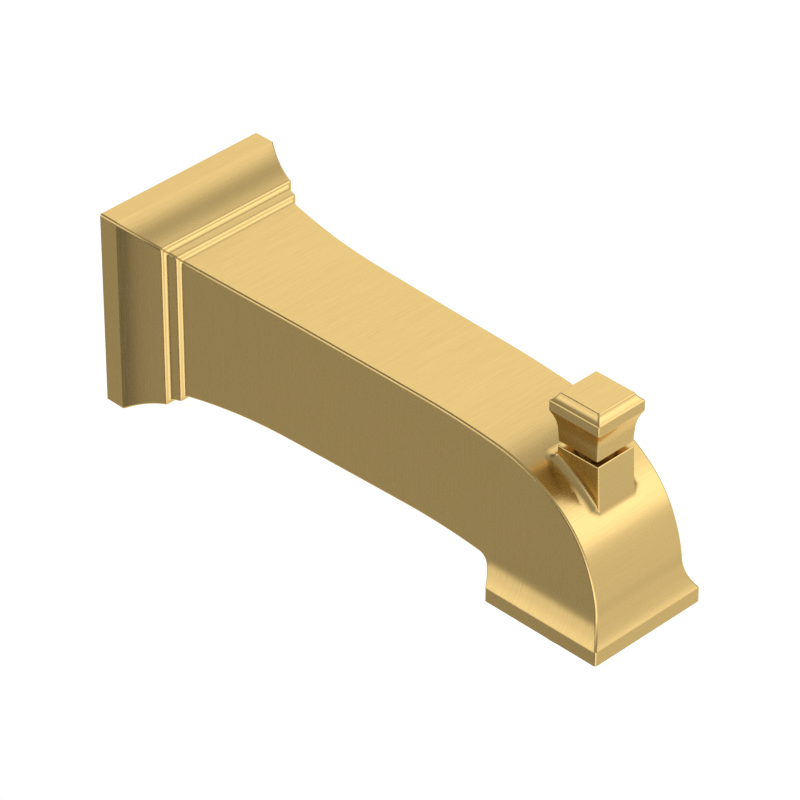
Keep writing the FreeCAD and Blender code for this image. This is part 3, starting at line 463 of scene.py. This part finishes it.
# Each stretch has the arm's top line, its underside and the number of outlines between its ends.
arm_stretches = (
    ([(*root_top, top_sweep_radius), sweep_end_top],
     [(*root_under, under_sweep_radius), sweep_end_under], 22),
    ([(*sweep_end_top, 0), shoulder],
     [(*sweep_end_under, 0), under_crown], 14),
    ([(*shoulder, shoulder_radius), brow],
     [(*under_crown, belly_radius), belly_end], 18),
    ([(*brow, brow_radius), (*cheek, cheek_radius), (*lip, lip_radius), front_flare],
     [(*belly_end, throat_radius), throat], 56),
    ([(*front_flare, front_flare_radius), front_band],
     [(*throat, rear_flare_radius), rear_band], 12),
    ([(*front_band, 0), front_bottom],
     [(*rear_band, 0), rear_bottom], 1),
)
for top_line, under_line, count in arm_stretches:
    for top, under in zip(along(top_line, count), along(under_line, count)):
        outlines.append(section(top, under, arm_half_width))
band_index = len(outlines) - 2
for index, rounding in (
    (band_index, band_rounding),
    (step_index, step_end_rounding),
    (cove_index, cove_end_rounding),
):
    soften(outlines, index, rounding)
casting = drawn_out("spout_casting", outlines)

# The pillar under the knob is nearly square; a hollow rounding, wider than it is high, runs from its four
# sides into the curved brow. Its foot is carried a little way into the arm, so that the two join cleanly.

pillar_middle = -169.1
pillar_half = (7.4, 7.75)
pillar_top = 20.0
pillar_arris = 0.4
pillar_arris_steps = 5
pillar_head_slack = 0.01
front_lean = 0.7
blend_height = 2.65
blend_width = 4.1
front_blend_width = 0.9
blend_pull = 0.7
blend_steps = 9
sunk_below_skin = 1.5
bite_into_skin = 0.012


def rounded_square(half_x, half_y, radius, steps=5, sides=5):
    """Points round a rectangle with rounded corners, each with the way that it faces."""
    spots = []
    for quarter in range(4):
        turn = quarter * math.pi / 2
        corner = math.pi / 4 + turn
        middle = ((half_x - radius) * math.copysign(1, math.cos(corner)),
                  (half_y - radius) * math.copysign(1, math.sin(corner)))
        for step in range(steps + 1):
            angle = turn + math.pi / 2 * step / steps
            out = (math.cos(angle), math.sin(angle))
            spots.append((middle[0] + radius * out[0], middle[1] + radius * out[1], out))
        last, facing = spots[-1], spots[-1][2]
        way = (-facing[1], facing[0])
        run = 2 * (half_x - radius if quarter % 2 == 0 else half_y - radius)
        for step in range(1, sides):
            gone = (way[0] * run * step / sides, way[1] * run * step / sides)
            spots.append((last[0] + gone[0], last[1] + gone[1], facing))
    return spots


top_arcs = (
    (brow[0], shoulder_radius, arc_middle(shoulder, brow, shoulder_radius)),
    (cheek[0], brow_radius, arc_middle(brow, cheek, brow_radius)),
    (lip[0], cheek_radius, arc_middle(cheek, lip, cheek_radius)),
)


def arm_top(y):
    """Height of the arm's top line at y, and its slope there."""
    for last, radius, (cy, cz) in top_arcs:
        if y > last:
            break
    rise = math.sqrt(radius * radius - (y - cy) ** 2)
    return cz + rise, (cy - y) / rise


pillar_outlines = [[] for step in range(blend_steps + 2)]
for x, y, out in rounded_square(*pillar_half, pillar_arris):
    forward = max(-out[1], 0)
    y += pillar_middle - front_lean * forward
    fade = 1 - math.sqrt(forward) * (1 - front_blend_width / blend_width)
    touch = (x + blend_width * fade * out[0], y + blend_width * fade * out[1])
    top_there, slope = arm_top(touch[1])
    on_arm = Vector((*touch, top_there))
    corner = Vector((x, y, top_there + slope * (y - touch[1])))
    on_pillar = corner + Vector((0, 0, blend_height * fade))
    down = Vector((0, slope, -1)).normalized()
    pillar_outlines[0].append((on_arm + sunk_below_skin * down) * mm)
    for step in range(blend_steps + 1):
        share = step / blend_steps
        pulls = ((1 - share) ** 2, 2 * blend_pull * share * (1 - share), share ** 2)
        spot = (pulls[0] * on_arm + pulls[1] * corner + pulls[2] * on_pillar) / sum(pulls)
        pillar_outlines[step + 1].append((spot + bite_into_skin * (1 - share) * down) * mm)
for step in range(pillar_arris_steps + 1):
    angle = math.pi / 2 * step / pillar_arris_steps
    inward = pillar_arris * (1 - math.cos(angle))
    level = pillar_top - pillar_arris * (1 - math.sin(angle))
    pillar_outlines.append([
        Vector((x - inward * out[0], y + pillar_middle - inward * out[1], level)) * mm
        for x, y, out in rounded_square(*pillar_half, pillar_arris + pillar_head_slack)
    ])
pillar = drawn_out("knob_pillar", pillar_outlines)


def combine(form, other, operation):
    """Join or cut a form with another one, which is used up."""
    bpy.ops.object.select_all(action="DESELECT")
    bpy.context.view_layer.objects.active = form
    form.select_set(True)
    step = form.modifiers.new(operation, "BOOLEAN")
    step.operation = operation
    step.object = other
    step.solver = "EXACT"
    bpy.ops.object.modifier_apply(modifier=step.name)
    bpy.data.objects.remove(other)


combine(casting, pillar, "UNION")

# The hollow is the one that the frame already has: its walls are copied, drawn out past each mouth and
# closed, and the whole is cut from the outside.

skin_gap = 0.7 * mm
same_facing = 0.6
hollow_weld = 0.002 * mm
chamber_wall = Vector((10.8, -160, -5)) * mm
clamp_hole_rear = -24 * mm
clamp_hole_front = -36 * mm
arm_underside = -22 * mm
mouth_slack = 0.1 * mm
past_mouth = 4 * mm


def at_clamp_hole(spot):
    return spot.z < arm_underside and clamp_hole_front < spot.y < clamp_hole_rear


outside = BVHTree.FromObject(casting, bpy.context.evaluated_depsgraph_get())
hollow = nodes["spout_body"].copy()
hollow.data = nodes["spout_body"].data.copy()
bpy.context.scene.collection.objects.link(hollow)
bpy.ops.object.select_all(action="DESELECT")
bpy.context.view_layer.objects.active = hollow
hollow.select_set(True)
bpy.ops.object.mode_set(mode="EDIT")
bpy.ops.mesh.select_all(action="SELECT")
bpy.ops.mesh.remove_doubles(threshold=hollow_weld)
bpy.ops.mesh.select_all(action="DESELECT")
cage = bmesh.from_edit_mesh(hollow.data)
cage.select_mode = {"FACE"}
for face in cage.faces:
    _, skin_normal, _, gap = outside.find_nearest(face.calc_center_median())
    face.select_set(gap < skin_gap and skin_normal.dot(face.normal) > same_facing)
bmesh.update_edit_mesh(hollow.data)
bpy.ops.mesh.delete(type="FACE")
cage = bmesh.from_edit_mesh(hollow.data)
seed = min(cage.faces, key=lambda face: (face.calc_center_median() - chamber_wall).length)
seed.select_set(True)
bpy.ops.mesh.select_linked()
bpy.ops.mesh.select_all(action="INVERT")
bpy.ops.mesh.delete(type="FACE")
bpy.ops.mesh.select_mode(type="EDGE")
for way, lies_there in (
    ((0, past_mouth, 0), lambda spot: spot.y > -mouth_slack),
    ((0, 0, past_mouth), lambda spot: spot.z > pillar_top * mm - mouth_slack),
    ((0, 0, -past_mouth), lambda spot: spot.z < foot_bottom * mm + mouth_slack),
    ((0, 0, -past_mouth), at_clamp_hole),
):
    bpy.ops.mesh.select_all(action="DESELECT")
    cage = bmesh.from_edit_mesh(hollow.data)
    for edge in cage.edges:
        edge.select_set(edge.is_boundary and all(lies_there(vert.co) for vert in edge.verts))
    bmesh.update_edit_mesh(hollow.data)
    bpy.ops.mesh.extrude_edges_move(TRANSFORM_OT_translate={"value": way})
    bpy.ops.mesh.edge_face_add()
bpy.ops.mesh.select_all(action="SELECT")
bpy.ops.mesh.normals_make_consistent(inside=False)
bpy.ops.object.mode_set(mode="OBJECT")
combine(casting, hollow, "DIFFERENCE")

# A shallow square groove in the back of the flange holds the gasket.

groove_outer_half = (29.3, 30.8)
groove_inner_half = (26.0, 27.5)
groove_depth = 1.5
core_depth = 4


def block(half_x, half_z, deep):
    """Box round the pipe's axis that reaches as deep into the flange as out of its back."""
    bpy.ops.object.select_all(action="DESELECT")
    bpy.ops.mesh.primitive_cube_add(size=1, location=(0, 0, 0))
    bpy.ops.object.mode_set(mode="EDIT")
    bpy.ops.transform.resize(value=(2 * half_x * mm, 2 * deep * mm, 2 * half_z * mm))
    bpy.ops.object.mode_set(mode="OBJECT")
    return bpy.context.active_object


groove = block(*groove_outer_half, groove_depth)
combine(groove, block(*groove_inner_half, core_depth), "DIFFERENCE")
combine(casting, groove, "DIFFERENCE")

smooth_angle = math.radians(28)
metal_weld = 0.001 * mm
large_face_weight = 60


def finish_metal(piece, node, body):
    """Merge the piece, shade it by angle and put it in the place of its node."""
    bpy.ops.object.select_all(action="DESELECT")
    bpy.context.view_layer.objects.active = piece
    piece.select_set(True)
    bpy.ops.object.mode_set(mode="EDIT")
    bpy.ops.mesh.select_all(action="SELECT")
    bpy.ops.mesh.remove_doubles(threshold=metal_weld)
    bpy.ops.object.mode_set(mode="OBJECT")
    bpy.ops.object.shade_smooth_by_angle(angle=smooth_angle)
    even = piece.modifiers.new("even_faces", "WEIGHTED_NORMAL")
    even.keep_sharp = True
    even.weight = large_face_weight
    bpy.ops.object.modifier_apply(modifier=even.name)
    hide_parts(node)
    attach(piece, body)


finish_metal(casting, "spout_body", "spout")

# The gold is fine belt-ground brass, plated: the grain runs upright on the sides of the spout and crosswise
# on its top and front.

gold_colour = (0.64, 0.457, 0.18)
gold_edge_colour = (1.0, 0.86, 0.62)
side_facing = (0.66, 0.74)
crosswise_grain = (60.0, 4600.0, 4600.0)
upright_grain = (40.0, 3600.0, 55.0)
gloss_swing = 0.04
bump_strength = 0.12


def pattern_group(name, inputs):
    """New node group that puts out a tone and a height, with inputs of the given kinds."""
    group = bpy.data.node_groups.new(name, "ShaderNodeTree")
    for output in ("Tone", "Height"):
        group.interface.new_socket(output, in_out="OUTPUT", socket_type="NodeSocketFloat")
    for value, kind in inputs.items():
        group.interface.new_socket(value, in_out="INPUT", socket_type=kind)
    return group


def tone_and_height(group, height):
    """Close a pattern group: its height comes out as it is, and as a tone about 1 swung by its depth."""
    values = group.nodes.new("NodeGroupInput")
    result = group.nodes.new("NodeGroupOutput")
    centred = group.nodes.new("ShaderNodeMath")
    centred.operation = "SUBTRACT"
    centred.inputs[1].default_value = 0.5
    tone = group.nodes.new("ShaderNodeMath")
    tone.operation = "MULTIPLY_ADD"
    tone.inputs[2].default_value = 1.0
    group.links.new(height, centred.inputs[0])
    group.links.new(centred.outputs[0], tone.inputs[0])
    group.links.new(values.outputs["Depth"], tone.inputs[1])
    group.links.new(tone.outputs[0], result.inputs["Tone"])
    group.links.new(height, result.inputs["Height"])


# A Mix node has a pair of inputs for each kind of data: 2 and 3 are numbers, 6 and 7 are colours.

belt_grain = pattern_group("belt_grain", {"Depth": "NodeSocketFloat"})
spot = belt_grain.nodes.new("ShaderNodeTexCoord")
facing = belt_grain.nodes.new("ShaderNodeNewGeometry")
split = belt_grain.nodes.new("ShaderNodeSeparateXYZ")
belt_grain.links.new(facing.outputs["Normal"], split.inputs[0])
sideways = belt_grain.nodes.new("ShaderNodeMath")
sideways.operation = "ABSOLUTE"
belt_grain.links.new(split.outputs["X"], sideways.inputs[0])
on_side = belt_grain.nodes.new("ShaderNodeMapRange")
on_side.inputs["From Min"].default_value = side_facing[0]
on_side.inputs["From Max"].default_value = side_facing[1]
belt_grain.links.new(sideways.outputs[0], on_side.inputs["Value"])
streaks = []
for stretch in (crosswise_grain, upright_grain):
    stretched = belt_grain.nodes.new("ShaderNodeMapping")
    stretched.inputs["Scale"].default_value = stretch
    belt_grain.links.new(spot.outputs["Object"], stretched.inputs["Vector"])
    noise = belt_grain.nodes.new("ShaderNodeTexNoise")
    noise.inputs["Scale"].default_value = 1.0
    noise.inputs["Detail"].default_value = 3.0
    noise.inputs["Roughness"].default_value = 0.65
    belt_grain.links.new(stretched.outputs[0], noise.inputs["Vector"])
    streaks.append(noise)
choose = belt_grain.nodes.new("ShaderNodeMix")
choose.data_type = "FLOAT"
belt_grain.links.new(on_side.outputs["Result"], choose.inputs["Factor"])
belt_grain.links.new(streaks[0].outputs["Fac"], choose.inputs[2])
belt_grain.links.new(streaks[1].outputs["Fac"], choose.inputs[3])
tone_and_height(belt_grain, choose.outputs[0])


def finish(name, group, colour, metallic, roughness, depth, bump_height, edge_colour=None, turn=None):
    """Material whose colour, gloss and surface follow a pattern group, which a turn may lay along a piece."""
    paint = bpy.data.materials.new(name)
    paint.use_nodes = True
    tree = paint.node_tree
    shader = tree.nodes["Principled BSDF"]
    shader.inputs["Metallic"].default_value = metallic
    if edge_colour:
        shader.inputs["Specular Tint"].default_value = (*edge_colour, 1)
    pattern = tree.nodes.new("ShaderNodeGroup")
    pattern.node_tree = group
    pattern.inputs["Depth"].default_value = depth
    if turn:
        middle, rotation = turn
        spot = tree.nodes.new("ShaderNodeTexCoord")
        centred = tree.nodes.new("ShaderNodeVectorMath")
        centred.operation = "SUBTRACT"
        centred.inputs[1].default_value = middle
        turned = tree.nodes.new("ShaderNodeMapping")
        turned.inputs["Rotation"].default_value = rotation
        tree.links.new(spot.outputs["Object"], centred.inputs[0])
        tree.links.new(centred.outputs[0], turned.inputs["Vector"])
        tree.links.new(turned.outputs[0], pattern.inputs["Place"])
    tint = tree.nodes.new("ShaderNodeMix")
    tint.data_type = "RGBA"
    tint.blend_type = "MULTIPLY"
    tint.inputs["Factor"].default_value = 1.0
    tint.inputs[6].default_value = (*colour, 1)
    tree.links.new(pattern.outputs["Tone"], tint.inputs[7])
    tree.links.new(tint.outputs[2], shader.inputs["Base Color"])
    gloss = tree.nodes.new("ShaderNodeMapRange")
    gloss.inputs["From Min"].default_value = 1 - depth / 4
    gloss.inputs["From Max"].default_value = 1 + depth / 4
    gloss.inputs["To Min"].default_value = roughness + gloss_swing
    gloss.inputs["To Max"].default_value = roughness - gloss_swing
    tree.links.new(pattern.outputs["Tone"], gloss.inputs["Value"])
    tree.links.new(gloss.outputs["Result"], shader.inputs["Roughness"])
    bump = tree.nodes.new("ShaderNodeBump")
    bump.inputs["Strength"].default_value = bump_strength
    bump.inputs["Distance"].default_value = bump_height
    tree.links.new(pattern.outputs["Height"], bump.inputs["Height"])
    tree.links.new(bump.outputs["Normal"], shader.inputs["Normal"])
    return paint


def dress(piece, paint):
    """Give every material slot of the piece the same finish."""
    if not piece.data.materials:
        piece.data.materials.append(paint)
    for index in range(len(piece.data.materials)):
        piece.data.materials[index] = paint


brushed_gold = finish("brushed_gold", belt_grain, gold_colour, metallic=1.0, roughness=0.26, depth=0.2,
                      bump_height=0.00004, edge_colour=gold_edge_colour)
casting.data.materials.clear()
dress(casting, brushed_gold)


# Lift knob.
# A square knob milled from solid brass and plated: a neck that flares up to a plain rim, and a hollow bevel
# round its flat top. It is bored from below for the lift rod and from the back for its set screw.

knob_arris = 0.5
knob_edge_rounding = 0.4
knob_patch_half = 0.4
knob_bottom, knob_bottom_half = 21.6, 7.45
neck_start, neck_half = 26, 7.7
rim_bottom, rim_top, rim_half = 32.1, 35.5, 9.5
knob_top, knob_top_half = 38.1, 7.4
neck_radius = -14
crown_radius = -4.5
rod_bore = 2.05
rod_bore_start, rod_bore_end = 18, 31.3
screw_bore = 1.55
screw_bore_length = 12
screw_height = 24.5

# The side of the knob, as (half width, height), runs from a small patch in the middle of its underside to
# one in the middle of its top.

knob_side = [(knob_patch_half, knob_bottom), (knob_bottom_half, knob_bottom), (neck_half, neck_start)]
bottom_index = 1
knob_side += arc_points((neck_half, neck_start), (rim_half, rim_bottom), neck_radius, 12)
rim_bottom_index = len(knob_side) - 1
knob_side.append((rim_half, rim_top))
rim_top_index = len(knob_side) - 1
knob_side += arc_points((rim_half, rim_top), (knob_top_half, knob_top), crown_radius, 8)
crown_index = len(knob_side) - 1
knob_side.append((knob_patch_half, knob_top))
knob_outlines = [
    [Vector((x, y + pillar_middle, level)) * mm
     for x, y, out in rounded_square(half, half, min(knob_arris, half / 2))]
    for half, level in knob_side
]
for index in (crown_index, rim_top_index, rim_bottom_index, bottom_index):
    soften(knob_outlines, index, knob_edge_rounding)
knob = drawn_out("lift_knob", knob_outlines)


def rod_between(name, radius, start, end, sides):
    """Straight round rod from start to end."""
    start, end = Vector(start) * mm, Vector(end) * mm
    bpy.ops.object.select_all(action="DESELECT")
    bpy.ops.mesh.primitive_cylinder_add(vertices=sides, radius=radius * mm, depth=(end - start).length,
                                        location=(start + end) / 2,
                                        rotation=(end - start).to_track_quat("Z", "Y").to_euler())
    bpy.ops.object.transform_apply(location=True, rotation=True, scale=True)
    bpy.context.active_object.name = name
    return bpy.context.active_object


rod_hole = rod_between("rod_hole", rod_bore, (0, pillar_middle, rod_bore_start),
                       (0, pillar_middle, rod_bore_end), 48)
combine(knob, rod_hole, "DIFFERENCE")
screw_hole = rod_between("screw_hole", screw_bore, (0, pillar_middle, screw_height),
                         (0, pillar_middle + screw_bore_length, screw_height), 32)
combine(knob, screw_hole, "DIFFERENCE")
finish_metal(knob, "diverter_knob", "diverter")
knob.data.materials.clear()
dress(knob, brushed_gold)


# Guide bush.
# A flanged ring of free-cutting brass, turned on a lathe and pressed into the pillar, that guides the lift
# rod. Only its rim shows, in the gap under the knob; its very dark brown colour is painted shade for that
# gap.

turned_rings = pattern_group("turned_rings", {"Place": "NodeSocketVector", "Depth": "NodeSocketFloat"})
ring_place = turned_rings.nodes.new("NodeGroupInput")
ring_parts = turned_rings.nodes.new("ShaderNodeSeparateXYZ")
turned_rings.links.new(ring_place.outputs["Place"], ring_parts.inputs[0])
across = turned_rings.nodes.new("ShaderNodeCombineXYZ")
turned_rings.links.new(ring_parts.outputs["X"], across.inputs["X"])
turned_rings.links.new(ring_parts.outputs["Y"], across.inputs["Y"])
from_axis = turned_rings.nodes.new("ShaderNodeVectorMath")
from_axis.operation = "LENGTH"
turned_rings.links.new(across.outputs[0], from_axis.inputs[0])
tool_way = turned_rings.nodes.new("ShaderNodeCombineXYZ")
turned_rings.links.new(from_axis.outputs["Value"], tool_way.inputs["X"])
turned_rings.links.new(ring_parts.outputs["Z"], tool_way.inputs["Z"])
rings = turned_rings.nodes.new("ShaderNodeTexNoise")
rings.inputs["Scale"].default_value = 5200.0
rings.inputs["Detail"].default_value = 2.0
rings.inputs["Roughness"].default_value = 0.6
turned_rings.links.new(tool_way.outputs[0], rings.inputs["Vector"])
stains = turned_rings.nodes.new("ShaderNodeTexNoise")
stains.inputs["Scale"].default_value = 260.0
stains.inputs["Detail"].default_value = 3.0
turned_rings.links.new(ring_place.outputs["Place"], stains.inputs["Vector"])
ring_sum = turned_rings.nodes.new("ShaderNodeMix")
ring_sum.data_type = "FLOAT"
ring_sum.inputs["Factor"].default_value = 0.4
turned_rings.links.new(rings.outputs["Fac"], ring_sum.inputs[2])
turned_rings.links.new(stains.outputs["Fac"], ring_sum.inputs[3])
tone_and_height(turned_rings, ring_sum.outputs[0])

# A turned piece's axis is a point on it and the turn that lays the rings across it.

upright = (0, 0, 0)
to_wall = (math.pi / 2, 0, 0)
sideways_on = (0, math.pi / 2, 0)
knob_axis = (0, pillar_middle * mm, 0)
# The bush's dark brown is painted shade: it stands in for the shadow in the gap under the knob.
bush_painted_shade_colour = (0.20, 0.125, 0.045)
dress(nodes["guide_bush"], finish("turned_brass_painted_shade", turned_rings, bush_painted_shade_colour, metallic=1.0,
                                  roughness=0.42, depth=0.5, bump_height=0.00004, turn=(knob_axis, upright)))


# Outlet nozzle.
# A brass ring with a thread, turned, then plated like the spout, that screws up into the foot round the
# outlet. The water leaves through the grid in it.

dress(nodes["outlet_nozzle"], finish("turned_gold", turned_rings, gold_colour, metallic=1.0, roughness=0.24,
                                     depth=0.2, bump_height=0.00004, edge_colour=gold_edge_colour,
                                     turn=(knob_axis, upright)))


# Inlet adapter and waterway tube.
# The adapter is a bare brass sleeve that slips over the supply pipe inside the flange; a drawn brass tube
# takes the water on from it to the diverter. Both are held by O-rings, and neither is plated.

inlet_axis = (0, 0, 0)
machined_brass_colour = (0.60, 0.43, 0.16)
drawn_brass_colour = (0.62, 0.45, 0.18)
dress(nodes["inlet_adapter"], finish("machined_brass", turned_rings, machined_brass_colour, metallic=1.0,
                                     roughness=0.30, depth=0.4, bump_height=0.00004,
                                     turn=(inlet_axis, to_wall)))
dress(nodes["waterway_tube"], finish("drawn_brass", belt_grain, drawn_brass_colour, metallic=1.0,
                                     roughness=0.26, depth=0.3, bump_height=0.00003))


# Screws, lift rod and gate pin.
# Stainless steel, cold drawn and turned: the collar screws, the clamp screw against the pipe, the set screw
# in the knob, the rod that lifts the gate and the cross pin that holds it.

steel_colour = (0.50, 0.50, 0.49)
clamp_reach = -30
for name, axis_point, axis_turn in (
    ("lift_rod", knob_axis, upright),
    ("gate_pin", knob_axis, sideways_on),
    ("knob_set_screw", (0, 0, screw_height * mm), to_wall),
    ("clamp_screw", (0, clamp_reach * mm, 0), upright),
    ("adapter_screws", (0, clamp_reach * mm, 0), to_wall),
):
    dress(nodes[name], finish("steel_" + name, turned_rings, steel_colour, metallic=1.0, roughness=0.28,
                              depth=0.35, bump_height=0.00003, turn=(axis_point, axis_turn)))


# Wall gasket.
# A square ring of closed-cell foam rubber, cut from sheet and stuck into the groove in the flange's back. It
# seals the spout to the tiles.

foam_cells = pattern_group("foam_cells", {"Depth": "NodeSocketFloat"})
cell_spot = foam_cells.nodes.new("ShaderNodeTexCoord")
cells = foam_cells.nodes.new("ShaderNodeTexVoronoi")
cells.inputs["Scale"].default_value = 2400.0
foam_cells.links.new(cell_spot.outputs["Object"], cells.inputs["Vector"])
tone_and_height(foam_cells, cells.outputs["Distance"])
foam_colour = (0.035, 0.035, 0.036)
dress(nodes["wall_gasket"], finish("foam_rubber", foam_cells, foam_colour, metallic=0.0, roughness=0.85,
                                   depth=0.5, bump_height=0.0002))


# Rubber rings and seals.
# Moulded black rubber: O-rings on the adapter, the tube and the rod, the seat and the pad of the diverter,
# and the flat gasket on the nozzle. Their skin has the fine mottle of the mould.

moulded_skin = pattern_group("moulded_skin", {"Depth": "NodeSocketFloat", "Scale": "NodeSocketFloat"})
skin_values = moulded_skin.nodes.new("NodeGroupInput")
skin_spot = moulded_skin.nodes.new("ShaderNodeTexCoord")
skin = moulded_skin.nodes.new("ShaderNodeTexNoise")
skin.inputs["Detail"].default_value = 4.0
moulded_skin.links.new(skin_spot.outputs["Object"], skin.inputs["Vector"])
moulded_skin.links.new(skin_values.outputs["Scale"], skin.inputs["Scale"])
tone_and_height(moulded_skin, skin.outputs["Fac"])


def moulded(name, colour, roughness, depth, scale):
    """Moulded rubber or plastic with the fine mottle of its mould."""
    paint = finish(name, moulded_skin, colour, metallic=0.0, roughness=roughness, depth=depth,
                   bump_height=0.0001)
    for node in paint.node_tree.nodes:
        if node.type == "GROUP":
            node.inputs["Scale"].default_value = scale
    return paint


black_rubber = moulded("black_rubber", (0.022, 0.022, 0.023), roughness=0.55, depth=0.6, scale=900.0)
for name in ("inlet_oring_rear", "inlet_oring_front", "tube_oring_rear", "tube_oring_front", "rod_oring",
             "port_seat", "gate_pad", "nozzle_gasket"):
    dress(nodes[name], black_rubber)


# Diverter housing, gate and flow guide.
# Injection moulded in off-white acetal. The housing sits in the foot over the outlet, the gate slides in it
# with the lift rod, and the guide's vanes in the nozzle steady the stream.

off_white_acetal = moulded("off_white_acetal", (0.62, 0.60, 0.55), roughness=0.38, depth=0.12, scale=600.0)
for name in ("diverter_housing", "diverter_gate", "flow_guide"):
    dress(nodes[name], off_white_acetal)
